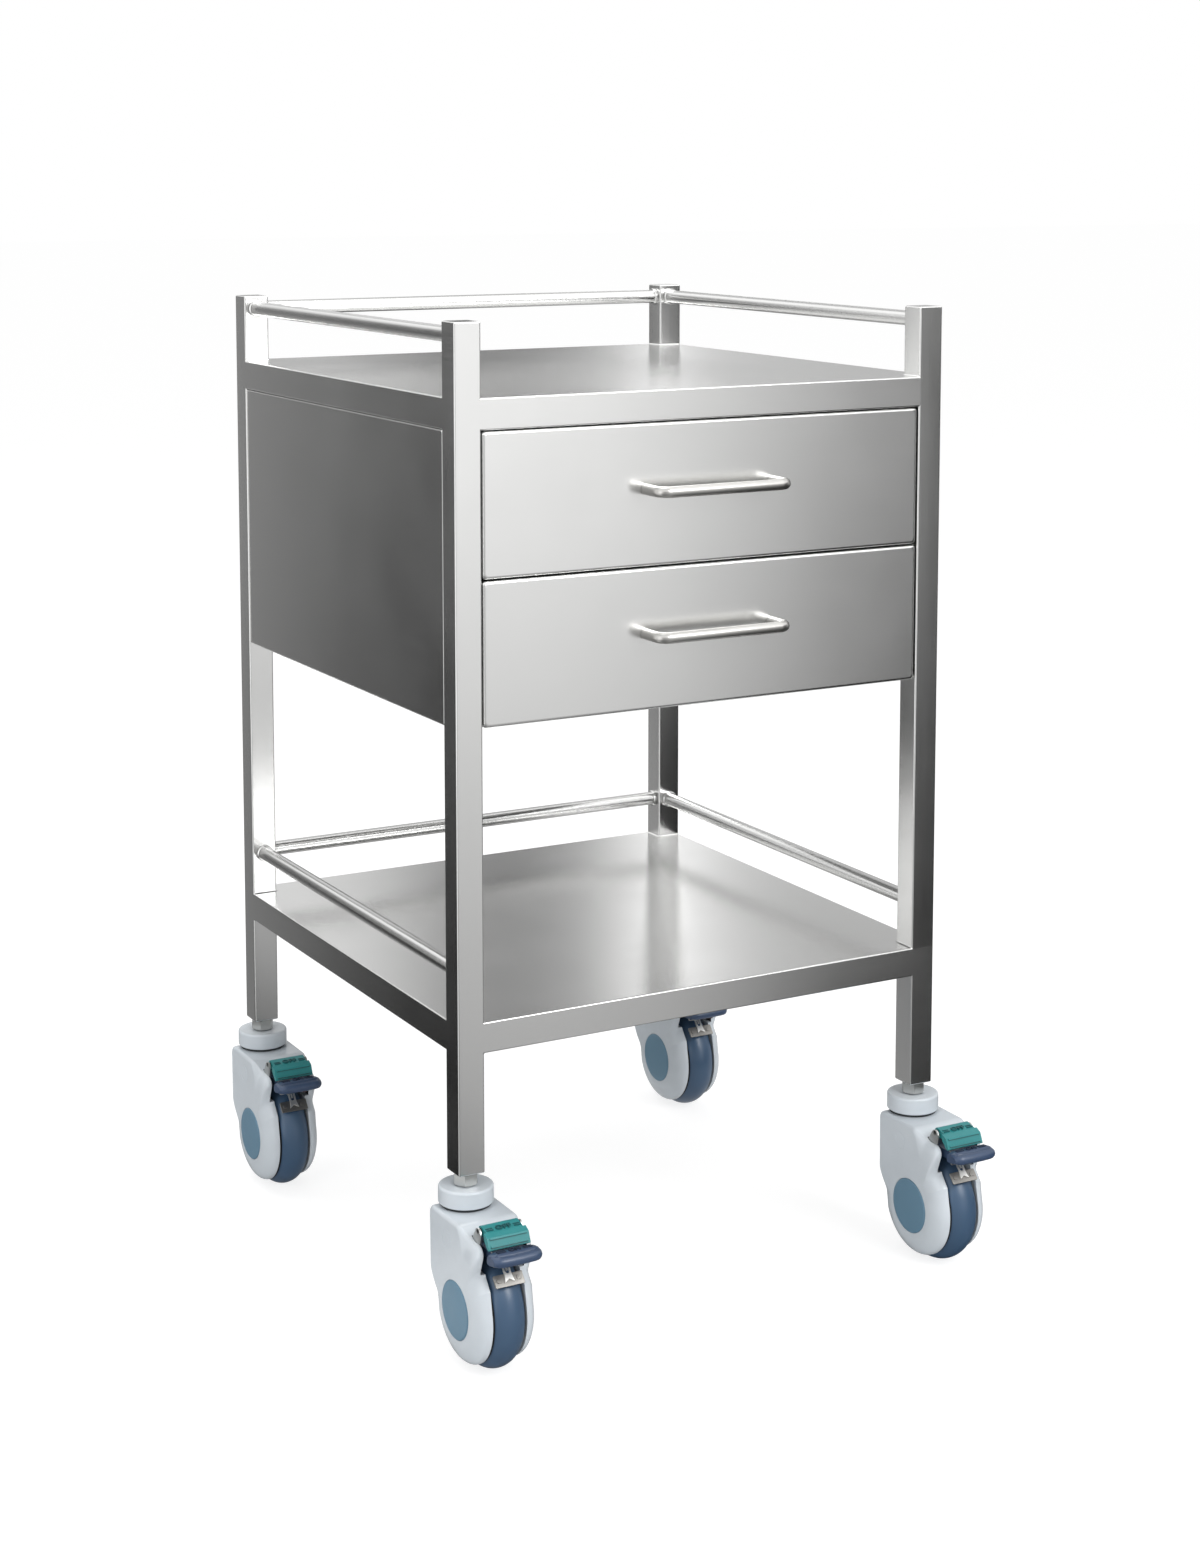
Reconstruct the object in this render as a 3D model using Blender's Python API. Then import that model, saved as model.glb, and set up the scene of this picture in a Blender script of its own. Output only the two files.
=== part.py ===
"""Stainless steel trolley: tray top, two drawers, lower shelf and four braked twin-sided castors.

The posts stand on a square. The empty "trolley" carries everything and puts the middle of the
whole footprint, castors included, on the world's Z axis, with the floor at z = 0.
The drawers open towards -Y. Run it with: blender --background --python part.py
"""
import math

import bmesh
import bpy
from mathutils import Matrix, Vector

MM = 0.001

# Frame of square tube
WIDTH = 500 * MM
DEPTH = 500 * MM
HEIGHT = 900 * MM
TUBE = 25 * MM
TUBE_WALL = 1.5 * MM
TUBE_CORNER = 2.2 * MM
POST_FOOT = 160 * MM
POST_CAP = 1.5 * MM
CAP_ROUND = 1.2 * MM
GAP = 0.3 * MM              # clearance between pieces that touch

# Trays, each a flat sheet with a folded skirt
RIM_BELOW_POST_TOP = 64.5 * MM
TOP_RIM = HEIGHT - RIM_BELOW_POST_TOP
SHELF_RIM = 294.5 * MM
TRAY_SKIRT = 27.5 * MM
TRAY_RETURN = 15 * MM
TRAY_SHEET = 1.5 * MM
TRAY_BEND = 2.2 * MM

# Guard rails of round rod on the left, the back and the right
ROD = 14 * MM
TOP_ROD_ABOVE_RIM = 52 * MM
SHELF_ROD_ABOVE_RIM = 41 * MM
FERRULE = 16 * MM
FERRULE_LENGTH = 2.5 * MM

# Drawer cabinet between the posts
CABINET_HEIGHT = 283 * MM     # tray skirt included
CABINET_BOTTOM = TOP_RIM - CABINET_HEIGHT
PANEL_SHEET = 1.2 * MM
PANEL_FOLD = 15 * MM
PANEL_BEND = 2.0 * MM
PANEL_RECESS = 1.0 * MM
FRONT_SIDE_GAP = 1.2 * MM
FRONT_TOP_GAP = 1.0 * MM
FRONT_SPLIT_GAP = 1.2 * MM
FRONT_FOLD = 16 * MM
FRONT_BEND = 3.0 * MM
FRONT_RECESS = 0.5 * MM
BOX_SHEET = 1.0 * MM
BOX_BEND = 2.5 * MM
BOX_HEIGHT = 96 * MM
RUNNER_LENGTH = 450 * MM
BOX_LENGTH = RUNNER_LENGTH
BOX_RISE = 8 * MM

# Telescopic runners beside each drawer box
RUNNER_THICK = 12.5 * MM
RUNNER_HEIGHT = 45 * MM
RUNNER_SHEET = 1.2 * MM
BALL_SPACE = 3.0 * MM
RUNNER_REVEAL = 0.9 * MM
BALL_CAGE_LENGTH = 90 * MM
UPRIGHT_WIDTH = 22 * MM

# Bar handles
HANDLE_BAR = 10 * MM
HANDLE_SPACING = 130 * MM
HANDLE_STANDOFF = 28 * MM
HANDLE_BEND = 9 * MM
HANDLE_RISE = 5 * MM

# Castor: swivel stem, collar and nut
STEM = 10 * MM
STEM_IN_HOUSING = 10 * MM
STEM_IN_POST = 24 * MM
FOOT_PLUG = 20 * MM
NUT_ACROSS_FLATS = 19.5 * MM
COLLAR = 48.8 * MM
COLLAR_BOTTOM = 133.4 * MM
COLLAR_TOP = 149.0 * MM
COLLAR_ROUND = 2.2 * MM
COLLAR_NECK = 40 * MM

# Castor: wheel
WHEEL_RADIUS = 54 * MM
TRAIL = 37 * MM
TYRE_WIDTH = 30 * MM
TYRE_CROWN = 18 * MM
TYRE_SEAT = 33 * MM
AXLE = 10 * MM
WHEEL_SIDES = 28

# Castor: moulded housing
HOUSING_TOP = 131 * MM
HOUSING_BACK = 14 * MM
HOUSING_HALF = 29 * MM
SHELL_RADIUS = 47.6 * MM
SHELL_EDGE_HALF = 17 * MM
BROW_EDGE_HALF = 21.6 * MM
TOP_EDGE_HALF = 25.5 * MM
SIDE_FILLET = 20 * MM
TOP_FILLET = 3.5 * MM
WELL_CLEARANCE = 3.3 * MM
# Points of the side view, from the wheel's centre
BACK_FOOT = 22 * MM
BACK_ROUND = 5 * MM
TOP_FRONT = -5 * MM
STEP_POINT = (-20.5 * MM, 68.4 * MM)
BROW_POINT = (-41.5 * MM, 67.5 * MM)
BROW_ROUND = 7 * MM
NOTCH_TOP = (-32 * MM, 42.5 * MM)
NOTCH_FOOT = (-42.6 * MM, 29.5 * MM)
# Angles about the wheel's centre, in degrees from the back
SHELL_ARC = (166, 338)
OUTLINE_STEP = 18
SOFT_UNTIL = 26
TOP_MIDDLE = 80
SOFT_FROM = (92, 108)
BROW_UNTIL = 127.2
WELL_SIDE_GAP = 1.3 * MM
HUB_CAP = 51 * MM
HUB_CAP_RECESS = 2.0 * MM
HUB_CAP_PROUD = 0.8 * MM
CAP_SIDES = 24

# Castor: brake
BAY_BACK = -53 * MM
BAY_HALF = 20.7 * MM
BAY_FLOOR = 96 * MM
EAR_SHEET = 1.5 * MM
EAR_TOP = 9 * MM
EAR_SIDE = 5.5 * MM
EAR_ROUND = 4.5 * MM
EAR_SHOULDER = 122.5 * MM
PIN = 4 * MM
OFF_PIN_Y = -64 * MM
OFF_PIN_Z = 132.5 * MM
ON_PIN_Y = -59 * MM
ON_PIN_Z = 114.5 * MM
BARREL = 8.4 * MM
SHOE_GAP = 4.4 * MM
SHOE_SHEET = 1.5 * MM
SHOE_HALF = 13.9 * MM
SHOE_LENGTH = 11 * MM
SHOE_ANGLE = 139.5
TAB_HALF = 4.5 * MM
TAB_TOP_Y = -83.6 * MM
TAB_SHEET = 2.0 * MM
SHELF_HALF = 13 * MM
SHELF_Y = (-86 * MM, -79 * MM)
SHELF_Z = (110.5 * MM, 113.2 * MM)
# Side views of the pedals, as y, z and, for the lip, rounding in mm
TONGUE_FRONT = ((-72, 134.7), (-72, 128.5))
LIP_EDGE = 1.0 * MM
LIP = ((-71, 135.0, 0), (-80.7, 131.2, 2), (-84.8, 122.3, 1), (-81.5, 121.2, 0),
       (-78.0, 127.2, 2), (-71, 130.0, 0))
ARM_INSET = 3 * MM
ARM_FRONT = ((-87, 118.7), (-91, 118.7), (-91, 113.2), (-78, 111.0))
TREAD_BACK = ((-87.5, 122.0), (-92.5, 122.8))
TREAD_TIP = ((3.0, 121.5, 0.5), (0.0, 117.5, 0.2), (3.0, 113.0, -0.5))
TREAD_FOOT = ((-90, 112.2), (-86.5, 116.5))
# Across the pedal: x, how far the tip falls back, and how far its edge sinks
TREAD_SECTIONS = ((-22.8, 3.6, -2.0), (-21.0, 1.0, -0.6), (-12, 0.2, 0), (0, 0, 0),
                  (12, 0.2, 0), (21.0, 1.0, -0.6), (22.8, 3.6, -2.0))

# The footprint runs from the front pedals to the rear collars
PEDAL_TIP = -105 * MM
POST_X = (WIDTH - TUBE) / 2
POST_Y = (DEPTH - TUBE) / 2
FOOTPRINT_SHIFT = (-PEDAL_TIP - COLLAR / 2) / 2


def material(name, colour, roughness, metallic=0.0):
    made = bpy.data.materials.new(name)
    made.use_nodes = True
    shader = made.node_tree.nodes["Principled BSDF"]
    shader.inputs["Base Color"].default_value = (*colour, 1)
    shader.inputs["Roughness"].default_value = roughness
    shader.inputs["Metallic"].default_value = metallic
    return made


def rounded_rect(width, height, radius, steps=2):
    """An outline of (u, v) points about the middle, anticlockwise from the right-hand side."""
    points = []
    for across, up, start in ((1, 1, 0), (-1, 1, 90), (-1, -1, 180), (1, -1, 270)):
        for step in range(steps + 1):
            angle = math.radians(start + 90 * step / steps)
            points.append((across * (width / 2 - radius) + radius * math.cos(angle),
                           up * (height / 2 - radius) + radius * math.sin(angle)))
    return points


def circle(radius, sides, turn=0.0):
    """Points on a circle, the first at the angle turn."""
    angles = [turn + math.tau * step / sides for step in range(sides)]
    return [(radius * math.cos(a), radius * math.sin(a)) for a in angles]


def skin(bm, rings, wrap=False):
    """Join rings of as many points each. Without wrap the two end rings are capped."""
    rows = [[bm.verts.new(point) for point in ring] for ring in rings]
    pairs = list(zip(rows, rows[1:]))
    if wrap:
        pairs.append((rows[-1], rows[0]))
    else:
        bm.faces.new(rows[0])
        bm.faces.new(rows[-1])
    count = len(rows[0])
    for near, far in pairs:
        for here in range(count):
            after = (here + 1) % count
            bm.faces.new((near[here], near[after], far[after], far[here]))


def prism(bm, outline, low, high, axis="X"):
    """A closed outline of two coordinates pushed along the third one."""
    def place(a, b, along):
        return {"X": (along, a, b), "Y": (a, along, b), "Z": (a, b, along)}[axis]
    skin(bm, [[place(a, b, along) for a, b in outline] for along in (low, high)])


def block(bm, low, high):
    """A plain box between two corners."""
    outline = [(low[0], low[1]), (high[0], low[1]), (high[0], high[1]), (low[0], high[1])]
    prism(bm, outline, low[2], high[2], axis="Z")


def turned(bm, profile, sides, axis="Z", centre=(0, 0, 0), wrap=False, turn=0.0):
    """A body of revolution. The profile holds (radius, along) pairs."""
    rings = []
    for radius, along in profile:
        ring = []
        for a, b in circle(radius, sides, turn):
            point = {"X": (along, a, b), "Y": (a, along, b), "Z": (a, b, along)}[axis]
            ring.append(Vector(point) + Vector(centre))
        rings.append(ring)
    skin(bm, rings, wrap)


def fillet_path(corners, steps=3):
    """Round the corners of a closed outline. Each corner is (a, b, radius)."""
    points = []
    count = len(corners)
    for here in range(count):
        corner = Vector(corners[here][:2])
        radius = corners[here][2]
        before = (Vector(corners[here - 1][:2]) - corner).normalized()
        after = (Vector(corners[(here + 1) % count][:2]) - corner).normalized()
        if radius <= 0:
            points.append(tuple(corner))
            continue
        half = before.angle(after) / 2
        reach = radius / math.tan(half)
        middle = corner + (before + after).normalized() * radius / math.sin(half)
        first = corner + before * reach - middle
        sweep = first.angle_signed(corner + after * reach - middle)
        for step in range(steps + 1):
            turn = Matrix.Rotation(-sweep * step / steps, 2)
            points.append(tuple(middle + turn @ first))
    return points


def finish(name, bm, look, parent, origin=(0, 0, 0)):
    """Make the object, with its own origin where the piece turns or slides."""
    return place(name, plain_mesh(name, bm, look, origin), parent, origin)


def place(name, mesh, parent, origin=(0, 0, 0)):
    made = bpy.data.objects.new(name, mesh)
    made.location = origin
    made.parent = parent
    bpy.context.collection.objects.link(made)
    return made


def carved(name, body, tools, look, origin=(0, 0, 0)):
    """The mesh of body after each (operation, shape) in turn, moved to its own origin."""
    solids = []
    for shape in [body] + [tool for _, tool in tools]:
        bmesh.ops.recalc_face_normals(shape, faces=shape.faces)
        mesh = bpy.data.meshes.new(name)
        shape.to_mesh(mesh)
        shape.free()
        solid = bpy.data.objects.new(name, mesh)
        bpy.context.collection.objects.link(solid)
        solids.append(solid)
    for (operation, _), tool in zip(tools, solids[1:]):
        step = solids[0].modifiers.new(operation, "BOOLEAN")
        step.operation = operation
        step.object = tool
    bpy.context.view_layer.update()
    graph = bpy.context.evaluated_depsgraph_get()
    mesh = bpy.data.meshes.new_from_object(solids[0].evaluated_get(graph))
    for solid in solids:
        bpy.data.objects.remove(solid)
    mesh.name = name
    mesh.materials.clear()
    return dressed(mesh, look, origin)


def dressed(mesh, look, origin):
    """Move a mesh to its own origin and give it its finish."""
    mesh.transform(Matrix.Translation(-Vector(origin)))
    mesh.materials.append(look)
    mesh.shade_smooth()
    mesh.set_sharp_from_angle(angle=math.radians(35))
    return mesh


def empty(name, location, parent=None):
    made = bpy.data.objects.new(name, None)
    made.location = location
    made.parent = parent
    bpy.context.collection.objects.link(made)
    return made


# Frame

def post_mesh(steel):
    """A square tube, closed on top, with a bored plug welded into its foot."""
    outer = rounded_rect(TUBE, TUBE, TUBE_CORNER)
    lid = rounded_rect(TUBE - 2 * CAP_ROUND, TUBE - 2 * CAP_ROUND, TUBE_CORNER)
    levels = [(outer, POST_FOOT), (outer, HEIGHT - CAP_ROUND), (lid, HEIGHT)]
    body, hollow, bore = bmesh.new(), bmesh.new(), bmesh.new()
    skin(body, [[(u, v, z) for u, v in ring] for ring, z in levels])
    side = TUBE - 2 * TUBE_WALL
    inner = rounded_rect(side, side, TUBE_CORNER - TUBE_WALL / 2)
    prism(hollow, inner, POST_FOOT + FOOT_PLUG, HEIGHT - POST_CAP, axis="Z")
    radius = STEM / 2 + GAP
    turned(bore, [(radius, COLLAR_TOP), (radius, POST_FOOT + FOOT_PLUG + TUBE_WALL)], 12)
    tools = [("DIFFERENCE", hollow), ("DIFFERENCE", bore)]
    return carved("post", body, tools, steel)


def make_posts(trolley, steel):
    mesh = post_mesh(steel)
    for corner, (x, y) in CASTOR_PLACES.items():
        place(f"{corner}_post", mesh, trolley, (x, y, 0))


def notched_outline(inset):
    """The tray's outer edge, cut back at each corner to go round the post."""
    half_x, half_y = WIDTH / 2 - inset, DEPTH / 2 - inset
    in_x, in_y = half_x - TUBE - GAP, half_y - TUBE - GAP
    points = []
    for across, up in ((1, 1), (-1, 1), (-1, -1), (1, -1)):
        notch = [(half_x, in_y), (in_x, in_y), (in_x, half_y)]
        if across * up < 0:
            notch = notch[::-1]
        points += [(across * x, up * y) for x, y in notch]
    return points


def make_tray(name, rim, trolley, steel):
    """A flat sheet with a skirt folded down all round and a flange turned in under it."""
    bottom = rim - TRAY_SKIRT
    levels = [(TRAY_SHEET, rim - TRAY_SHEET), (TRAY_SHEET, bottom + TRAY_SHEET),
              (TRAY_RETURN, bottom + TRAY_SHEET), (TRAY_RETURN, bottom)]
    bend = []
    for step in range(3):
        angle = math.radians(45 * step)
        bend.append((TRAY_BEND * (1 - math.cos(angle)), TRAY_BEND * (1 - math.sin(angle))))
    levels += [(inset, bottom + drop) for inset, drop in bend[::-1]]
    levels += [(inset, rim - drop) for inset, drop in bend]
    bm = bmesh.new()
    skin(bm, [[(x, y, z) for x, y in notched_outline(inset)] for inset, z in levels])
    finish(name, bm, steel, trolley)


def guard_rod(name, axis, sign, height, trolley, steel):
    """One rod between two posts, with a welded ferrule ring at each end."""
    half = (WIDTH if axis == "X" else DEPTH) / 2 - TUBE - GAP
    offset = sign * (POST_Y if axis == "X" else POST_X)
    neck = half - FERRULE_LENGTH
    profile = [(FERRULE / 2, -half), (FERRULE / 2, -neck), (ROD / 2, -neck),
               (ROD / 2, neck), (FERRULE / 2, neck), (FERRULE / 2, half)]
    centre = (0, offset, height) if axis == "X" else (offset, 0, height)
    bm = bmesh.new()
    turned(bm, profile, 16, axis=axis, centre=centre)
    finish(name, bm, steel, trolley)


def make_guards(level, height, trolley, steel):
    guard_rod(f"{level}_back_rail", "X", 1, height, trolley, steel)
    guard_rod(f"{level}_left_rail", "Y", -1, height, trolley, steel)
    guard_rod(f"{level}_right_rail", "Y", 1, height, trolley, steel)


# Drawer cabinet

def folded_pan(bm, width, height, depth, sheet, bend, turn):
    """A sheet folded back on four sides. Its face is at w = 0 and it opens towards +w."""
    corner = bend
    hollow = rounded_rect(width - 2 * sheet, height - 2 * sheet, corner)
    full = rounded_rect(width, height, corner)
    rings = [(hollow, sheet), (hollow, depth), (full, depth), (full, bend)]
    for step in (1, 2):
        angle = math.radians(45 * step)
        inset = bend * (1 - math.cos(angle))
        outline = rounded_rect(width - 2 * inset, height - 2 * inset, corner)
        rings.append((outline, bend * (1 - math.sin(angle))))
    skin(bm, [[turn @ Vector((u, v, w)) for u, v in outline] for outline, w in rings])


def facing(direction, x, y, z):
    """A frame whose w axis runs along direction (degrees about Z), with v up."""
    angle = math.radians(direction)
    along = Vector((math.cos(angle), math.sin(angle), 0))
    up = Vector((0, 0, 1))
    across = up.cross(along)
    turn = Matrix((across, up, along)).transposed().to_4x4()
    return Matrix.Translation((x, y, z)) @ turn


def cabinet_top():
    return TOP_RIM - TRAY_SKIRT


def make_panels(trolley, steel):
    top = cabinet_top() - GAP
    height = top - CABINET_BOTTOM
    middle = (top + CABINET_BOTTOM) / 2
    side_x = WIDTH / 2 - PANEL_RECESS
    back_y = DEPTH / 2 - PANEL_RECESS
    clear_x = WIDTH - 2 * TUBE - 2 * GAP
    clear_y = DEPTH - 2 * TUBE - 2 * GAP
    walls = (("left_panel", clear_y, facing(0, -side_x, 0, middle)),
             ("right_panel", clear_y, facing(180, side_x, 0, middle)),
             ("back_panel", clear_x, facing(-90, 0, back_y, middle)))
    for name, width, turn in walls:
        bm = bmesh.new()
        folded_pan(bm, width, height, PANEL_FOLD, PANEL_SHEET, PANEL_BEND, turn)
        finish(name, bm, steel, trolley)


def drawer_heights():
    """The height of one drawer front, and the height of each one's middle."""
    space = cabinet_top() - FRONT_TOP_GAP - CABINET_BOTTOM
    height = (space - FRONT_SPLIT_GAP) / 2
    lower = CABINET_BOTTOM + height / 2
    return height, {"lower": lower, "upper": lower + height + FRONT_SPLIT_GAP}


def runner_strip(side, levels, start, end):
    """A folded strip along Y. Levels are (distance from the post's inner face, z)."""
    face = WIDTH / 2 - TUBE
    outline = [(side * (face - t), z) for t, z in levels]
    bm = bmesh.new()
    prism(bm, outline, start, end, axis="Y")
    return bm


def channel(web, tip, half, height):
    """A C section with its web at the distance web and its flanges out to tip."""
    thick = RUNNER_SHEET
    inside = web + math.copysign(thick, tip - web)
    return [(web, height - half), (tip, height - half), (tip, height - half + thick),
            (inside, height - half + thick), (inside, height + half - thick),
            (tip, height + half - thick), (tip, height + half), (web, height + half)]


def runner_halves():
    """Half the height of the outer, middle and inner member."""
    outer = RUNNER_HEIGHT / 2
    middle = outer - RUNNER_SHEET - BALL_SPACE
    return outer, middle, middle - RUNNER_SHEET - BALL_SPACE


def runner_webs():
    """How far each member's web lies from the post's inner face."""
    middle = GAP + RUNNER_SHEET + RUNNER_REVEAL
    return GAP, middle, middle + RUNNER_SHEET + RUNNER_REVEAL


def runner_start():
    return -DEPTH / 2 + FRONT_RECESS + FRONT_FOLD + 2 * GAP


def make_middle_runner(name, side, height, origin, trolley, zinc):
    """The member between, with its ball cages above and below each flange."""
    outer, middle, inner = runner_halves()
    _, web, near = runner_webs()
    tip = RUNNER_THICK - RUNNER_SHEET
    start = runner_start()
    body = runner_strip(side, channel(web, tip, middle, height), start, start + RUNNER_LENGTH)
    tools = []
    joint = RUNNER_SHEET / 2
    spaces = ((middle - joint, outer - RUNNER_SHEET - GAP), (inner + GAP, middle - joint))
    for low, high in spaces:
        for up in (-1, 1):
            cage = [(near, height + up * low), (tip - joint, height + up * low),
                    (tip - joint, height + up * high), (near, height + up * high)]
            middle_y = start + RUNNER_LENGTH / 2
            tools.append(("UNION", runner_strip(side, cage, middle_y, middle_y + BALL_CAGE_LENGTH)))
    mesh = carved(name, body, tools, zinc, origin)
    place(name, mesh, trolley, origin)


def make_runner_frames(trolley, zinc):
    """On each side, both outer members on two flat uprights against the posts."""
    _, middles = drawer_heights()
    outer, _, _ = runner_halves()
    start = runner_start()
    end = start + RUNNER_LENGTH
    tip = RUNNER_THICK - RUNNER_SHEET
    low, high = middles["lower"] - outer, middles["upper"] + outer
    for side, name in ((-1, "left_runner_frame"), (1, "right_runner_frame")):
        body = runner_strip(side, channel(GAP, tip, outer, middles["lower"]), start, end)
        tools = [("UNION", runner_strip(side, channel(GAP, tip, outer, middles["upper"]), start, end))]
        for y in (start, end - UPRIGHT_WIDTH):
            flat = [(GAP, low + RUNNER_SHEET), (GAP + RUNNER_SHEET, low + RUNNER_SHEET),
                    (GAP + RUNNER_SHEET, high - RUNNER_SHEET), (GAP, high - RUNNER_SHEET)]
            tools.append(("UNION", runner_strip(side, flat, y, y + UPRIGHT_WIDTH)))
        place(name, carved(name, body, tools, zinc), trolley)


def make_handle(name, height, origin, drawer, steel):
    """A round bar bent at both ends, with its feet on the drawer front."""
    face = -DEPTH / 2 + FRONT_RECESS - GAP
    bar = face - HANDLE_STANDOFF
    half = HANDLE_SPACING / 2
    path = [(-half, face, 0)]
    for side, start in ((-1, 180), (1, 270)):
        for step in range(4):
            angle = math.radians(start + 90 * step / 3)
            path.append((side * (half - HANDLE_BEND) + HANDLE_BEND * math.cos(angle),
                         bar + HANDLE_BEND + HANDLE_BEND * math.sin(angle), angle))
    path.append((half, face, math.tau))
    path[0] = (-half, face, math.pi)
    rings = []
    for x, y, angle in path:
        out = Vector((math.cos(angle), math.sin(angle), 0))
        rings.append([Vector((x, y, height)) + out * a + Vector((0, 0, b))
                      for a, b in circle(HANDLE_BAR / 2, 12)])
    bm = bmesh.new()
    skin(bm, rings)
    finish(name, bm, steel, drawer, origin)


def make_drawer(level, trolley, steel, zinc):
    height, middles = drawer_heights()
    middle = middles[level]
    front_face = -DEPTH / 2 + FRONT_RECESS
    origin = Vector((0, front_face, middle))
    width = WIDTH - 2 * TUBE - 2 * FRONT_SIDE_GAP

    bm = bmesh.new()
    folded_pan(bm, width, height, FRONT_FOLD, PANEL_SHEET, FRONT_BEND,
               facing(90, 0, front_face, middle))
    finish(f"{level}_drawer_front", bm, steel, trolley, origin)

    box_front = front_face + FRONT_FOLD + GAP
    box_width = WIDTH - 2 * TUBE - 2 * RUNNER_THICK
    box_bottom = middle - height / 2 + BOX_RISE
    box_middle = Matrix.Translation((0, box_front + BOX_LENGTH / 2, box_bottom))
    box = bmesh.new()
    folded_pan(box, box_width, BOX_LENGTH, BOX_HEIGHT, BOX_SHEET, BOX_BEND, box_middle)
    start = runner_start()
    _, _, inner_half = runner_halves()
    _, _, tip = runner_webs()
    inner_web = RUNNER_THICK + BOX_SHEET / 2
    tools = []
    for side in (-1, 1):
        section = channel(inner_web, tip, inner_half, middle)
        tools.append(("UNION", runner_strip(side, section, start, start + RUNNER_LENGTH - BOX_BEND)))
    name = f"{level}_drawer_box"
    place(name, carved(name, box, tools, steel, origin), trolley, origin)

    make_handle(f"{level}_drawer_handle", middle + HANDLE_RISE, origin, trolley, steel)
    for side, word in ((-1, "left"), (1, "right")):
        make_middle_runner(f"{level}_{word}_middle_runner", side, middle, origin, trolley, zinc)


# Castors

CASTOR_PLACES = {"front_left": (-POST_X, -POST_Y), "front_right": (POST_X, -POST_Y),
                 "rear_left": (-POST_X, POST_Y), "rear_right": (POST_X, POST_Y)}
HUB = Vector((0, -TRAIL, WHEEL_RADIUS))


def hexagon_ring(across_flats, sides=12):
    """A hexagon drawn with twice its corners, so that it joins a circle of as many points."""
    corner = across_flats / math.sqrt(3)
    points = []
    for step in range(sides):
        angle = math.tau * step / sides
        radius = corner if step % 2 == 0 else across_flats / 2
        points.append((radius * math.cos(angle), radius * math.sin(angle)))
    return points


def stem_mesh(zinc):
    """Threaded stem and hexagon nut, made in one piece."""
    rod = circle(STEM / 2, 12)
    nut = hexagon_ring(NUT_ACROSS_FLATS)
    nut_low, nut_high = COLLAR_TOP + GAP, POST_FOOT - GAP
    levels = [(rod, HOUSING_TOP - STEM_IN_HOUSING), (rod, nut_low), (nut, nut_low),
              (nut, nut_high), (rod, nut_high), (rod, POST_FOOT + STEM_IN_POST)]
    bm = bmesh.new()
    skin(bm, [[(u, v, z) for u, v in ring] for ring, z in levels])
    return plain_mesh("castor_stem", bm, zinc)


def collar_mesh(plastic):
    """A round bearing cover under the nut, with a narrower neck over the housing."""
    bore = STEM / 2 + GAP
    radius = COLLAR / 2
    profile = [(bore, HOUSING_TOP + GAP), (COLLAR_NECK / 2, HOUSING_TOP + GAP),
               (COLLAR_NECK / 2, COLLAR_BOTTOM), (radius, COLLAR_BOTTOM),
               (radius, COLLAR_TOP - COLLAR_ROUND), (radius - COLLAR_ROUND, COLLAR_TOP),
               (bore, COLLAR_TOP)]
    bm = bmesh.new()
    turned(bm, profile, 20, wrap=True)
    return plain_mesh("castor_collar", bm, plastic)


def housing_outline():
    """The side view of the housing about the wheel's centre, anticlockwise from the back."""
    back, top = HOUSING_BACK + TRAIL, HOUSING_TOP - WHEEL_RADIUS
    corners = [(back, BACK_FOOT, 0), (back, top, BACK_ROUND), (TOP_FRONT, top, 0),
               (*STEP_POINT, 0), (*BROW_POINT, BROW_ROUND), (*NOTCH_TOP, 0), (*NOTCH_FOOT, 0)]
    start, end = SHELL_ARC
    arc = [math.radians(start + (end - start) * step / 10) for step in range(11)]
    lower = [(SHELL_RADIUS * math.cos(a), SHELL_RADIUS * math.sin(a), 0) for a in arc]
    return divided(fillet_path(corners + lower, steps=2), OUTLINE_STEP)


def divided(outline, step):
    """Add points to an outline until none is more than step degrees from the next."""
    points = []
    for here, after in zip(outline, outline[1:] + outline[:1]):
        first, last = Vector(here), Vector(after)
        parts = math.ceil(math.degrees(first.angle(last)) / step)
        points += [first.lerp(last, part / parts) for part in range(max(parts, 1))]
    return points


def blend(value, low, high):
    """0 at low, 1 at high, smooth between."""
    share = min(max((value - low) / (high - low), 0), 1)
    return share * share * (3 - 2 * share)


def housing_edge(point):
    """How far the side's rounding reaches in from the outline, and its half width there."""
    angle = math.degrees(math.atan2(point[1], point[0])) % 360
    if angle < TOP_MIDDLE:
        soft = 1 - blend(angle, 0, SOFT_UNTIL)
    else:
        soft = blend(angle, *SOFT_FROM)
    edge = BROW_EDGE_HALF if TOP_MIDDLE < angle < BROW_UNTIL else SHELL_EDGE_HALF
    fillet = TOP_FILLET + (SIDE_FILLET - TOP_FILLET) * soft
    return fillet, TOP_EDGE_HALF + (edge - TOP_EDGE_HALF) * soft


def housing_shell():
    """The solid outer form with its two domed sides."""
    outline = housing_outline()
    half_rings = []
    for step in (3, 2, 1, 0):
        angle = math.radians(30 * step)
        ring = []
        for point in outline:
            fillet, edge = housing_edge(point)
            out = Vector(point)
            radius = out.length - fillet * (1 - math.cos(angle))
            ring.append((out.normalized() * radius, edge + (HOUSING_HALF - edge) * math.sin(angle)))
        half_rings.append(ring)
    rings = []
    for side, order in ((1, half_rings), (-1, half_rings[::-1])):
        for ring in order:
            rings.append([HUB + Vector((side * x, at.x, at.y)) for at, x in ring])
    bm = bmesh.new()
    skin(bm, rings)
    return bm


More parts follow.
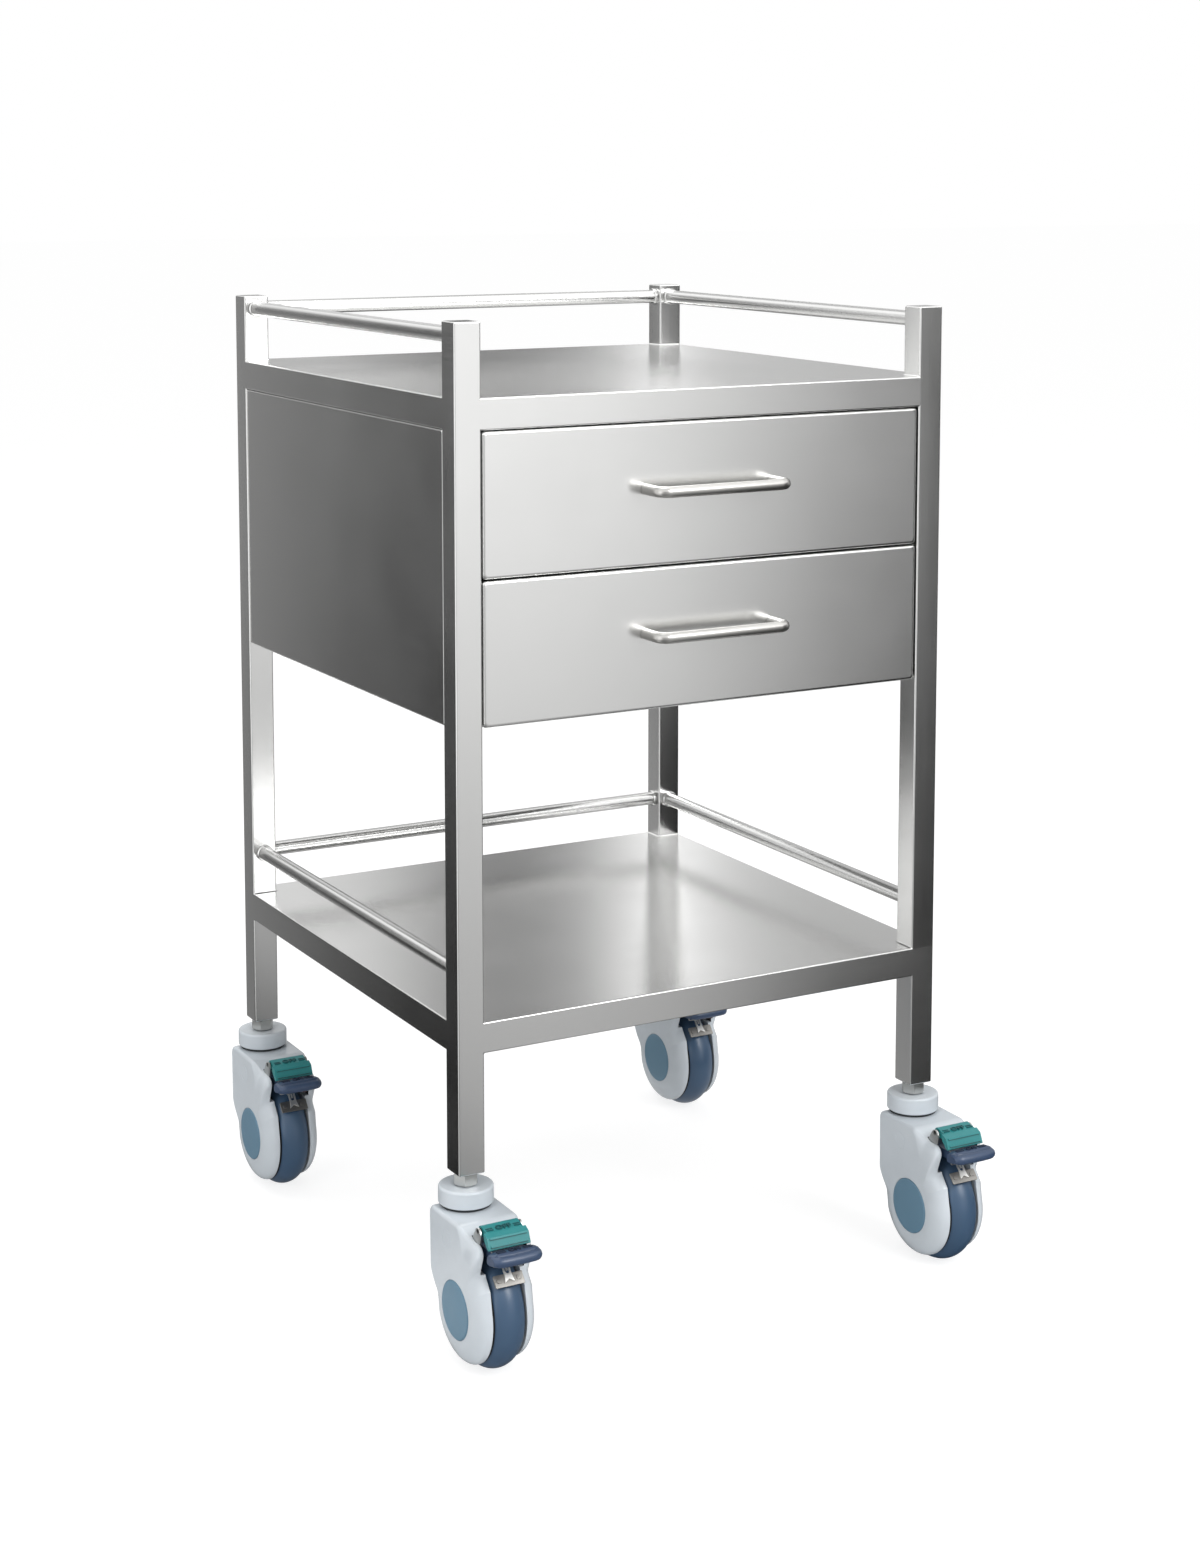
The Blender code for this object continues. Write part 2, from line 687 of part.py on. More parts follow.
def axle_bore():
    """The axle's bore, and a recess for the cap on each side."""
    deep = HOUSING_HALF - HUB_CAP_RECESS
    clear = HOUSING_HALF + HUB_CAP_PROUD
    bore, recess = AXLE / 2 + GAP, HUB_CAP / 2 + GAP
    profile = [(recess, -clear), (recess, -deep), (bore, -deep),
               (bore, deep), (recess, deep), (recess, clear)]
    bm = bmesh.new()
    turned(bm, profile, CAP_SIDES, axis="X", centre=HUB)
    return bm


def wheel_well():
    """The slot that the wheel turns in, open below, in front and at the back."""
    radius = WHEEL_RADIUS + WELL_CLEARANCE
    arch = [(radius * math.cos(math.radians(a)), radius * math.sin(math.radians(a)))
            for a in range(0, 181, 10)]
    drop = WHEEL_RADIUS + WELL_CLEARANCE
    outline = [(HUB.y + y, HUB.z + z) for y, z in arch + [(-radius, -drop), (radius, -drop)]]
    half = TYRE_WIDTH / 2 + WELL_SIDE_GAP
    bm = bmesh.new()
    prism(bm, outline, -half, half)
    return bm


def brake_bay():
    """The pocket at the front that the bracket and the pedals sit in."""
    bm = bmesh.new()
    block(bm, (-BAY_HALF, PEDAL_TIP, BAY_FLOOR), (BAY_HALF, BAY_BACK, COLLAR_BOTTOM))
    return bm


def stem_bore():
    bm = bmesh.new()
    profile = [(STEM / 2 + GAP, HOUSING_TOP - STEM_IN_HOUSING - GAP),
               (STEM / 2 + GAP, COLLAR_BOTTOM)]
    turned(bm, profile, 12)
    return bm


def housing_mesh(plastic):
    tools = [("DIFFERENCE", wheel_well()), ("DIFFERENCE", brake_bay()),
             ("DIFFERENCE", stem_bore()), ("DIFFERENCE", axle_bore())]
    return carved("castor_housing", housing_shell(), tools, plastic)


def wheel_mesh(rubber):
    """Tyre and hub, moulded as one ring that turns on the axle."""
    flat = 1 / math.cos(math.pi / WHEEL_SIDES)
    half = TYRE_WIDTH / 2
    tread = []
    for step in range(-2, 3):
        x = half * 0.94 * step / 2
        drop = TYRE_CROWN - math.sqrt(TYRE_CROWN ** 2 - x ** 2)
        tread.append(((WHEEL_RADIUS - drop) * flat, x))
    bore = AXLE / 2 + GAP
    side = WHEEL_RADIUS - TYRE_CROWN * 0.75
    outer = [(bore, -half * 0.9), (TYRE_SEAT, -half * 0.9), (side, -half)]
    profile = outer + tread + [(radius, -x) for radius, x in outer[::-1]]
    bm = bmesh.new()
    turned(bm, profile, WHEEL_SIDES, axis="X", centre=HUB, wrap=True, turn=math.pi / WHEEL_SIDES)
    return plain_mesh("castor_wheel", bm, rubber, HUB)


def plain_mesh(name, bm, look, origin=(0, 0, 0)):
    bmesh.ops.recalc_face_normals(bm, faces=bm.faces)
    mesh = bpy.data.meshes.new(name)
    bm.to_mesh(mesh)
    bm.free()
    return dressed(mesh, look, origin)


def axle_mesh(blue):
    """The axle, with a cap on each end that covers it."""
    radius = HUB_CAP / 2
    seat = HOUSING_HALF - HUB_CAP_RECESS + GAP
    top = HOUSING_HALF + HUB_CAP_PROUD
    cap = [(radius - HUB_CAP_PROUD, top), (radius, seat), (AXLE / 2, seat)]
    profile = cap + [(r, -x) for r, x in cap[::-1]]
    bm = bmesh.new()
    turned(bm, profile, CAP_SIDES, axis="X", centre=HUB)
    return plain_mesh("castor_axle", bm, blue)


def bracket_mesh(zinc):
    """A folded steel bracket: a back plate, two ears, and the two pins through them."""
    outer = BAY_HALF - GAP
    back = BAY_BACK - GAP
    foot = ON_PIN_Z - EAR_ROUND
    ear = [(OFF_PIN_Y, OFF_PIN_Z + EAR_TOP, EAR_ROUND), (back, EAR_SHOULDER, 0), (back, foot, 0),
           (ON_PIN_Y - EAR_SIDE, foot, EAR_ROUND * 0.9),
           (OFF_PIN_Y - EAR_SIDE, OFF_PIN_Z - PIN / 2, EAR_ROUND)]
    outline = fillet_path(ear, steps=3)
    left, right, plate = bmesh.new(), bmesh.new(), bmesh.new()
    prism(left, outline, -outer, -outer + EAR_SHEET)
    prism(right, outline, outer - EAR_SHEET, outer)
    block(plate, (-outer + EAR_SHEET / 2, back - EAR_SHEET, foot),
          (outer - EAR_SHEET / 2, back, EAR_SHOULDER))
    tools = [("UNION", right), ("UNION", plate)]
    for y, z in ((OFF_PIN_Y, OFF_PIN_Z), (ON_PIN_Y, ON_PIN_Z)):
        pin = bmesh.new()
        turned(pin, [(PIN / 2, -outer), (PIN / 2, outer)], 12, axis="X", centre=(0, y, z),
               turn=0.1)
        tools.append(("UNION", pin))
    return carved("castor_bracket", left, tools, zinc)


def pin_bore(y, z, half):
    bm = bmesh.new()
    radius = PIN / 2 + GAP
    turned(bm, [(radius, -half), (radius, half)], 12, axis="X", centre=(0, y, z))
    return bm


def in_metres(points):
    return [tuple(value * MM for value in point) for point in points]


def barrel_outline(y, z, start, end, steps=5):
    """Part of a round barrel about a pin, from one angle to another."""
    angles = [math.radians(start + (end - start) * step / steps) for step in range(steps + 1)]
    return [(y + BARREL / 2 * math.cos(a), z + BARREL / 2 * math.sin(a)) for a in angles]


def off_pedal_mesh(teal):
    """The release pedal: a barrel on the upper pin, a ridged top and a steep lip."""
    tongue_half = BAY_HALF - GAP - EAR_SHEET - GAP
    lip_half = BAY_HALF - LIP_EDGE
    tongue = barrel_outline(OFF_PIN_Y, OFF_PIN_Z, -80, 100) + in_metres(TONGUE_FRONT)
    lip = in_metres(LIP)
    body, wide = bmesh.new(), bmesh.new()
    prism(body, tongue, -tongue_half, tongue_half)
    prism(wide, fillet_path(lip, steps=2), -lip_half, lip_half)
    tools = [("UNION", wide), ("DIFFERENCE", pin_bore(OFF_PIN_Y, OFF_PIN_Z, BAY_HALF))]
    return carved("castor_off_pedal", body, tools, teal, (0, OFF_PIN_Y, OFF_PIN_Z))


def shoe_solids():
    """A steel plate before the tread, on a folded tab that hangs under the pedal."""
    angle = math.radians(SHOE_ANGLE)
    out = Vector((0, math.cos(angle), math.sin(angle)))
    along = Vector((0, -math.sin(angle), math.cos(angle)))
    near = HUB + out * (WHEEL_RADIUS + SHOE_GAP)
    reach = along * SHOE_LENGTH / 2
    depth = out * SHOE_SHEET
    corners = [near - reach, near - reach + depth, near + reach + depth, near + reach]
    plate, tab, shelf = bmesh.new(), bmesh.new(), bmesh.new()
    prism(plate, [(c.y, c.z) for c in corners], -SHOE_HALF, SHOE_HALF)
    root = near + depth / 2
    other = root + Vector((0, -0.8, 0.6)) * TAB_SHEET
    top = (SHELF_Z[0] + SHELF_Z[1]) / 2
    prism(tab, [(root.y, root.z), (other.y, other.z), (TAB_TOP_Y - TAB_SHEET / 2, top),
                (TAB_TOP_Y + TAB_SHEET / 2, top)], -TAB_HALF, TAB_HALF)
    block(shelf, (-SHELF_HALF, SHELF_Y[0], SHELF_Z[0]), (SHELF_HALF, SHELF_Y[1], SHELF_Z[1]))
    return plate, tab, shelf


def on_pedal_mesh(navy):
    """The brake pedal: arms on the lower pin, a rounded tread in front and the shoe below."""
    arm_half = BAY_HALF - GAP - EAR_SHEET - GAP - ARM_INSET
    arm = barrel_outline(ON_PIN_Y, ON_PIN_Z, -90, 90) + in_metres(ARM_FRONT)
    body = bmesh.new()
    prism(body, arm, -arm_half, arm_half)
    tread = bmesh.new()
    rings = []
    for x, back, sink in TREAD_SECTIONS:
        tip = [(PEDAL_TIP / MM + back + y, z + sink * share) for y, z, share in TREAD_TIP]
        side = in_metres((*TREAD_BACK, *tip, *TREAD_FOOT))
        rings.append([(x * MM, y, z) for y, z in side])
    skin(tread, rings)
    tools = [("UNION", tread)] + [("UNION", solid) for solid in shoe_solids()]
    tools.append(("DIFFERENCE", pin_bore(ON_PIN_Y, ON_PIN_Z, BAY_HALF)))
    return carved("castor_on_pedal", body, tools, navy, (0, ON_PIN_Y, ON_PIN_Z))


def make_castors(trolley, looks):
    """Build each moulding once, then place it under every post."""
    pieces = (("stem", stem_mesh(looks["zinc"]), (0, 0, 0)),
              ("collar", collar_mesh(looks["plastic"]), (0, 0, 0)),
              ("housing", housing_mesh(looks["plastic"]), (0, 0, 0)),
              ("axle", axle_mesh(looks["blue"]), (0, 0, 0)),
              ("bracket", bracket_mesh(looks["zinc"]), (0, 0, 0)),
              ("off_pedal", off_pedal_mesh(looks["teal"]), (0, OFF_PIN_Y, OFF_PIN_Z)),
              ("on_pedal", on_pedal_mesh(looks["navy"]), (0, ON_PIN_Y, ON_PIN_Z)),
              ("wheel", wheel_mesh(looks["rubber"]), HUB))
    for corner, (x, y) in CASTOR_PLACES.items():
        castor = empty(f"castor_{corner}", (x, y, 0), trolley)
        for name, mesh, origin in pieces:
            place(f"{corner}_{name}", mesh, castor, origin)


def main():
    for old in list(bpy.data.objects):
        bpy.data.objects.remove(old)
    looks = {"steel": material("brushed_stainless_steel", (0.56, 0.56, 0.55), 0.32, 1.0),
             "zinc": material("bright_zinc_steel", (0.62, 0.62, 0.60), 0.28, 1.0),
             "plastic": material("pale_grey_nylon", (0.62, 0.66, 0.72), 0.3),
             "blue": material("soft_blue_plastic", (0.20, 0.34, 0.44), 0.4),
             "teal": material("teal_plastic", (0.03, 0.24, 0.25), 0.4),
             "navy": material("navy_plastic", (0.06, 0.09, 0.17), 0.4),
             "rubber": material("navy_polyurethane", (0.05, 0.09, 0.16), 0.3)}
    trolley = empty("trolley", (0, FOOTPRINT_SHIFT, 0))
    make_posts(trolley, looks["steel"])
    make_tray("top_tray", TOP_RIM, trolley, looks["steel"])
    make_tray("shelf_tray", SHELF_RIM, trolley, looks["steel"])
    make_guards("top", TOP_RIM + TOP_ROD_ABOVE_RIM, trolley, looks["steel"])
    make_guards("shelf", SHELF_RIM + SHELF_ROD_ABOVE_RIM, trolley, looks["steel"])
    make_panels(trolley, looks["steel"])
    make_runner_frames(trolley, looks["zinc"])
    for level in ("upper", "lower"):
        make_drawer(level, trolley, looks["steel"], looks["zinc"])
    make_castors(trolley, looks)
    bpy.context.view_layer.update()


main()
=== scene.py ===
# %% [markdown]
# # A stainless steel trolley
# This lesson dresses the solid model of a hospital trolley: a frame of square tube, a tray top
# with guard rails, two drawers, a lower shelf and four braked castors. The solid model already
# holds every real size, so it is loaded first, and each piece made below takes its place from it.

# %% Load the solid model
import math

import bmesh
import bpy
from mathutils import Matrix, Vector


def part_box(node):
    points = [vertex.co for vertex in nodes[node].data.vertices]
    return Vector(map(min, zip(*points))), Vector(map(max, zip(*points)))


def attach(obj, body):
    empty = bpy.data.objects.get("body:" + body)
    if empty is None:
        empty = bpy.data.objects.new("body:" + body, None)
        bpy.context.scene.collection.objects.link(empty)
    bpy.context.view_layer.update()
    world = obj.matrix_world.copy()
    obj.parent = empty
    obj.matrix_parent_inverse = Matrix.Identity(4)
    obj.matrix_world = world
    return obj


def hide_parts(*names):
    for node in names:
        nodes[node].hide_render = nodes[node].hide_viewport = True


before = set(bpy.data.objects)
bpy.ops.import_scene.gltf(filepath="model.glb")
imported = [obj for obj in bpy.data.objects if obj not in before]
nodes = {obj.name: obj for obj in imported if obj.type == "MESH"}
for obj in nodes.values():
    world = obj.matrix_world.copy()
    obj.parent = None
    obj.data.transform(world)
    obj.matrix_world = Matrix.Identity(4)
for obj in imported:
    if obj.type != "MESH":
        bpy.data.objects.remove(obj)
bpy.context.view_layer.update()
MM = 0.001

# %% [markdown]
# ## The camera
# The photographer stood to the left of the trolley, a little above its top, and kept the
# posts upright in the picture. That takes some lens shift. The place, the tilt and the lens
# come from fitting known corners of the solids to the photograph with that shift.

# %% Camera
camera_data = bpy.data.cameras.new("camera")
camera = bpy.data.objects.new("camera", camera_data)
bpy.context.scene.collection.objects.link(camera)
camera.location = (-1.2130, -2.2067, 1.0364)
camera.rotation_euler = (math.radians(83.447), 0, math.radians(-28.890))
camera_data.lens = 62.085
camera_data.shift_y = -0.20
bpy.context.scene.camera = camera
print("camera at", [round(v, 3) for v in camera.location], "lens", camera_data.lens)

# %% [markdown]
# ## Helpers for objects, node trees and colours
# Every material below is a small tree of nodes. One function adds a node, sets its options and
# links or fills its inputs, so that each material reads as a short recipe. Colours are written
# as hex values, the way a paint program shows them, and turned to Blender's linear values.


# %% Object, node and colour helpers
def mm(sizes):
    """Millimetres as metres, for one size or for lists and tuples of them."""
    if isinstance(sizes, (list, tuple)):
        return type(sizes)(mm(size) for size in sizes)
    return sizes * MM


def put(name, data):
    """A new object in the scene, with that mesh, lamp or text."""
    made = bpy.data.objects.new(name, data)
    bpy.context.scene.collection.objects.link(made)
    return made


def fill(node, inputs):
    """Give inputs of a node a value each, or the output socket of another node."""
    for key, value in inputs.items():
        if isinstance(value, bpy.types.NodeSocket):
            node.id_data.links.new(value, node.inputs[key])
        else:
            node.inputs[key].default_value = value
    return node


def add(tree, kind, inputs=None, **settings):
    """Add a node with its settings and inputs."""
    node = tree.nodes.new(kind)
    for key, value in settings.items():
        setattr(node, key, value)
    return fill(node, inputs or {})


def material(name, bare=False):
    """A new material and its node tree, which is emptied when it is to be bare."""
    made = bpy.data.materials.new(name)
    made.use_nodes = True
    if bare:
        made.node_tree.nodes.clear()
    return made, made.node_tree


def linear(code):
    """An sRGB hex colour as linear red, green, blue and alpha."""
    values = [int(code[i:i + 2], 16) / 255 for i in (1, 3, 5)]
    return tuple(v / 12.92 if v <= 0.04045 else ((v + 0.055) / 1.055) ** 2.4 for v in values) + (1,)


print("mid grey:", [round(v, 3) for v in linear("#808080")])

# %% [markdown]
# ## The studio
# Bare steel has hardly any colour of its own and shows what stands around it, so the lighting
# is most of its look. The world is white to the camera and to reflections, as a white studio
# is, and dimmer as a light. Far off stands a round wall of grey cards, with more on the floor
# in front of it, as a photographer puts up to give shiny faces something to show. Three tables
# hold their greys, by direction, by direction high up at the back, and by distance. They are
# light where the left part of the front looks, dark where its right end and the left side look,
# and a narrow bright strip at the back gives the trays their streak. The camera and the lamps
# don't see the cards, so they shade nothing.


# %% World, lamps, grey cards and floor
def seen_directly(tree):
    """One for rays from the camera, a mirror or a glass, and nought for the light on things."""
    path = add(tree, "ShaderNodeLightPath").outputs
    seen = path["Is Camera Ray"]
    for way in ("Is Glossy Ray", "Is Transmission Ray"):
        seen = add(tree, "ShaderNodeMath", {0: seen, 1: path[way]}, operation="MAXIMUM").outputs[0]
    return seen


def studio_world(light=0.55):
    world = bpy.data.worlds.new("white_studio")
    bpy.context.scene.world = world
    world.use_nodes = True
    tree = world.node_tree
    tree.nodes.clear()
    strength = add(tree, "ShaderNodeMapRange", {"Value": seen_directly(tree), "To Min": light,
                                                "To Max": 1.0})
    back = add(tree, "ShaderNodeBackground", {"Color": (1, 1, 1, 1),
                                              "Strength": strength.outputs["Result"]})
    add(tree, "ShaderNodeOutputWorld", {"Surface": back.outputs[0]})


def softbox(name, place, aim, width, height, power):
    """A rectangular lamp that faces the point aim."""
    data = bpy.data.lights.new(name, "AREA")
    data.shape = "RECTANGLE"
    data.size, data.size_y, data.energy = width, height, power
    lamp = put(name, data)
    lamp.location = place
    lamp.rotation_euler = (Vector(aim) - Vector(place)).to_track_quat("-Z", "Y").to_euler()
    return lamp


# Pairs of a direction in degrees, from +Y towards +X, and a grey. The last table has pairs of a
# distance in metres and a share of the grey.
ROUND = [(-180, 0.9), (-155, 0.6), (-130, 0.5), (-118, 1.9), (-98, 1.9), (-86, 0.6),
         (-60, 0.7), (-48, 1.0), (-37, 1.15), (-35, 1.1), (-33, 0.75), (-31.5, 0.36), (-30, 0.05),
         (-28, 0.0), (-25, 0.0), (-23, 0.12), (-21, 0.34), (-17, 0.46), (-5, 0.40), (12, 0.20),
         (18, 0.12), (24, 0.12), (27, 0.28), (28.9, 0.50), (30, 0.38), (33, 0.55), (50, 0.60),
         (80, 0.75), (105, 0.50), (120, 0.10), (142, 0.0), (144.8, 0.05), (146.6, 0.34),
         (148, 0.95), (149.5, 1.35), (152, 1.4), (156, 1.4), (157.3, 1.12), (170, 1.12),
         (180, 0.9)]
HIGH_BEHIND = [(-15, 0.5), (12, 0.9), (22, 1.15), (24, 0.7), (25.5, 0.05), (28.2, 0.2),
               (29.3, 0.35), (29.9, 2.1), (30.7, 2.6), (31.6, 0.9), (33, 0.6), (35, 0.5),
               (80, 0.6)]
NEAR_TO_FAR = [(0.0, 0.34), (0.5, 0.36), (1.0, 0.39), (1.6, 0.48), (3.0, 0.66), (5.0, 0.88),
               (8.0, 1.0), (99.0, 1.0)]


def between(table, at):
    """The value of a table of (place, value) pairs, straight from one pair to the next."""
    for (low, first), (high, last) in zip(table, table[1:]):
        if low <= at <= high:
            return first + (last - first) * (at - low) / (high - low)


def turn_of(x, y):
    """The direction of a card, in degrees from +Y towards +X, seen from behind the mirror that
    the left side (or the front) makes, so that the greys come out straight on that side."""
    place = (0.71, -2.21) if x < 0 < y else (-1.21, 1.79) if y < 0 < x else (0, 0)
    return math.degrees(math.atan2(x - place[0], y - place[1]))


def shade_at(turn, distance, rise):
    """A card's grey. Floor cards near the trolley are darker, and high cards are brighter than
    white, so that rounded edges shine."""
    shade = between(ROUND, turn)
    fade = between(NEAR_TO_FAR, distance)
    if turn > 80:
        shade *= fade
    elif -45 < turn <= -15:
        lift = min(rise / 5, 1) if turn < -33 else 0
        shade *= 0.6 + 0.4 * fade + lift
    elif -15 < turn < 80:
        up = min(max(rise - 1.5, 0) / 3.5, 1)
        shade = shade * (1 - up) + between(HIGH_BEHIND, turn) * up
    else:
        shade *= min(0.25 + distance / 4, 1)
    if rise > 3 and (148.5 < turn < 151.5 or -31.5 < turn < -28.5):
        shade = 2.0     # two narrow high strips, for the post at the back right
    high = min(max(rise - 6, 0) / 3, 1)
    return shade * (1 - high) + (0.7 if 3 < turn < 80 else 1.5) * high


def strip(bm, near, far):
    """Join two rings of vertices, of as many each, by a strip of faces."""
    for here in range(len(near)):
        after = (here + 1) % len(near)
        bm.faces.new((near[here], near[after], far[after], far[here]))


def card(name, mesh, light=None):
    """A card for reflections only. Without a light it has the grey of each of its points."""
    paint, tree = material(name + "_paint", bare=True)
    if light is None:
        light = add(tree, "ShaderNodeAttribute", attribute_name="shade").outputs["Fac"]
    glow = add(tree, "ShaderNodeEmission", {"Strength": light})
    add(tree, "ShaderNodeOutputMaterial", {"Surface": glow.outputs[0]})
    mesh.materials.append(paint)
    made = put(name, mesh)
    made.visible_camera = made.visible_diffuse = made.visible_shadow = False
    made.visible_transmission = False


def grey_cards(radius=16.0, sides=720):
    """A ring of cards on the floor and up the wall, each with its own grey."""
    path = [(r, 0.004) for r in (0.02, 0.4, 0.7, 1.0, 1.6, 2.2, 3.0, 5.0, 8.0, 12.0)]
    path += [(radius, z) for z in (0.004, 1.5, 3.0, 5.0, 9.0, 18.0)]
    bm = bmesh.new()
    shade = bm.verts.layers.float.new("shade")
    rows = []
    for r, z in path:
        row = []
        for side in range(sides):
            a = math.radians(360 * side / sides - 180)
            vert = bm.verts.new((r * math.sin(a), r * math.cos(a), z))
            vert[shade] = shade_at(turn_of(vert.co.x, vert.co.y), r, z)
            row.append(vert)
        rows.append(row)
    for near, far in zip(rows, rows[1:]):
        strip(bm, near, far)
    mesh = bpy.data.meshes.new("grey_cards")
    bm.to_mesh(mesh)
    bm.free()
    card("grey_cards", mesh)


def flat_mesh(name, *corners):
    mesh = bpy.data.meshes.new(name)
    mesh.from_pydata(corners, [], [(0, 1, 2, 3)])
    return mesh


studio_world()
middle = (0, 0, 0.5)
softbox("key_softbox", (0.9, -3.2, 2.6), middle, 1.8, 1.8, 75)
softbox("fill_softbox", (-3.0, -1.6, 1.8), middle, 1.6, 1.6, 30).visible_glossy = False
softbox("top_softbox", (-0.4, 0.6, 3.2), middle, 2.0, 2.0, 30)
grey_cards()
for name, low, high in (("low_side_card", 0.02, 0.45), ("high_side_card", 0.76, 1.0)):
    card(name, flat_mesh(name, (0.66, -0.6, low), (1.0, -0.6, low), (1.0, -0.6, high),
                         (0.66, -0.6, high)), 0.01)
card("overhead_card", flat_mesh("overhead_card", (0.4, -1.6, 3.4), (2.6, -1.6, 3.4),
                                (2.6, 1.0, 3.4), (0.4, 1.0, 3.4)), 1.8)

floor_mesh = flat_mesh("floor", (-30, -30, 0), (30, -30, 0), (30, 30, 0), (-30, 30, 0))
floor = put("floor", floor_mesh)
bpy.context.scene.view_settings.view_transform = "Standard"

# %% [markdown]
# ## The floor
# The floor is matt white and has to stay white in the picture, but it keeps the soft shadow
# under the wheels. To the camera and in reflections it glows a little below white and adds the
# light that falls on it, so that only a shadow brings it under white.


# %% Floor material
def floor_material():
    made, tree = material("white_studio_floor", bare=True)
    white = seen_directly(tree)
    albedo = add(tree, "ShaderNodeMapRange", {"Value": white, "To Min": 0.85, "To Max": 0.35})
    glow = add(tree, "ShaderNodeMath", {0: white, 1: 0.8}, operation="MULTIPLY")
    matt = add(tree, "ShaderNodeBsdfDiffuse", {"Color": albedo.outputs["Result"]})
    shine = add(tree, "ShaderNodeEmission", {"Color": (1, 1, 1, 1), "Strength": glow.outputs[0]})
    both = add(tree, "ShaderNodeAddShader", {0: matt.outputs[0], 1: shine.outputs[0]})
    add(tree, "ShaderNodeOutputMaterial", {"Surface": both.outputs[0]})
    return made


floor_mesh.materials.append(floor_material())
print("floor:", floor_mesh.materials[0].name)

# %% [markdown]
# ## Satin stainless steel
# The tube, the trays and the drawer fronts are stainless steel sheet ground with a fine belt,
# which leaves hair lines all in one direction. The lines are a few hundredths of a millimetre
# wide, too fine for this picture, so they are drawn about half a millimetre wide and very
# faint. A slow, cloudy change of roughness stands for the way handling and wiping dull it.


# %% Ground steel
def noise(tree, place, width, detail):
    """Noise with spots of so many millimetres."""
    return add(tree, "ShaderNodeTexNoise", {"Vector": place, "Scale": 1 / (width * MM),
                                            "Detail": detail}).outputs["Fac"]


def ranged(tree, value, low, high):
    """The middle part of a noise as a value from low to high."""
    return add(tree, "ShaderNodeMapRange", {"Value": value, "From Min": 0.3, "From Max": 0.7,
                                            "To Min": low, "To Max": high}).outputs["Result"]


def tones(colour, *shares):
    """A colour made darker or lighter by each share."""
    return [tuple(v * share for v in linear(colour)[:3]) + (1,) for share in shares]


def bump(tree, height, strength):
    return add(tree, "ShaderNodeBump", {"Height": height, "Strength": strength,
                                        "Distance": 0.1 * MM}).outputs[0]


def ground_steel(name, colour, roughness, along, line=0.5, depth=0.02):
    """Steel with hair lines along one axis. The line width is in millimetres."""
    made, tree = material(name)
    place = add(tree, "ShaderNodeTexCoord").outputs["Object"]
    across = 1 / (line * MM)
    scale = [across, across, across]
    scale["XYZ".index(along)] = across / 160
    drawn_out = add(tree, "ShaderNodeMapping", {"Vector": place, "Scale": scale})
    lines = add(tree, "ShaderNodeTexNoise", {"Vector": drawn_out.outputs[0], "Scale": 1.0,
                                             "Detail": 3.0, "Roughness": 0.6}).outputs["Fac"]
    clouds = noise(tree, place, 90, 3.0)
    tint = add(tree, "ShaderNodeMix", {"Factor": lines}, data_type="RGBA")
    for key, value in zip("AB", tones(colour, 0.97, 1.02)):
        [s for s in tint.inputs if s.name == key and s.type == "RGBA"][0].default_value = value
    dull = ranged(tree, clouds, roughness * 0.95, roughness * 1.06)
    grain = ranged(tree, lines, -0.012, 0.012)
    rough = add(tree, "ShaderNodeMath", {0: dull, 1: grain}, operation="ADD")
    fill(tree.nodes["Principled BSDF"], {
        "Base Color": [s for s in tint.outputs if s.type == "RGBA"][0],
        "Roughness": rough.outputs[0], "Normal": bump(tree, lines, depth), "Metallic": 1.0})
    return made


tube_steel = ground_steel("ground_steel_tube", "#DEDEDD", 0.20, "Z")
sheet_steel_x = ground_steel("ground_steel_sheet_across", "#DEDEDD", 0.24, "X")
sheet_steel_y = ground_steel("ground_steel_sheet_deep", "#DEDEDD", 0.20, "Y")
tray_steel = ground_steel("ground_steel_tray", "#DEDEDD", 0.22, "X")
handle_steel = ground_steel("satin_steel_bar", "#BDBCB9", 0.30, "X", line=0.4)
print("steels:", [m.name for m in bpy.data.materials if "steel" in m.name])

# %% [markdown]
# ## Polished and plated steel
# The guard rods are polished and nearly mirror bright. The runners, castor stems, brackets and
# brake shoes are plain steel with a thin zinc plate: bright, faintly blue and a little mottled,
# which is a noise of a few millimetres in its colour and roughness.


# %% Polished and zinc-plated steel
def toned(tree, value, colour, dark, light):
    """A colour that goes from a darker to a lighter tone of itself."""
    tint = add(tree, "ShaderNodeValToRGB", {"Fac": value})
    for element, tone in zip(tint.color_ramp.elements, tones(colour, dark, light)):
        element.color = tone
    return tint.outputs["Color"]


def plated_steel(name, colour, low, high, mottle):
    """Bright metal with a mottle of so many millimetres between two roughness values."""
    made, tree = material(name)
    spots = noise(tree, add(tree, "ShaderNodeTexCoord").outputs["Object"], mottle, 4.0)
    fill(tree.nodes["Principled BSDF"], {"Base Color": toned(tree, spots, colour, 0.97, 1.02),
                                         "Roughness": ranged(tree, spots, low, high),
                                         "Metallic": 1.0})
    return made


rod_steel = plated_steel("polished_steel_rod", "#CFCFCE", 0.21, 0.23, 6)
zinc_steel = plated_steel("zinc_plated_steel", "#C4C5C3", 0.32, 0.38, 6)
plate_steel = plated_steel("stamped_steel_plate", "#8C8A86", 0.36, 0.42, 6)
# Painted light: the clip's steel is a lighter tone, against the shade under the pedal.
clip_steel = plated_steel("bright_steel_clip", "#E4E4E1", 0.40, 0.46, 6)
print("plated:", rod_steel.name, zinc_steel.name)
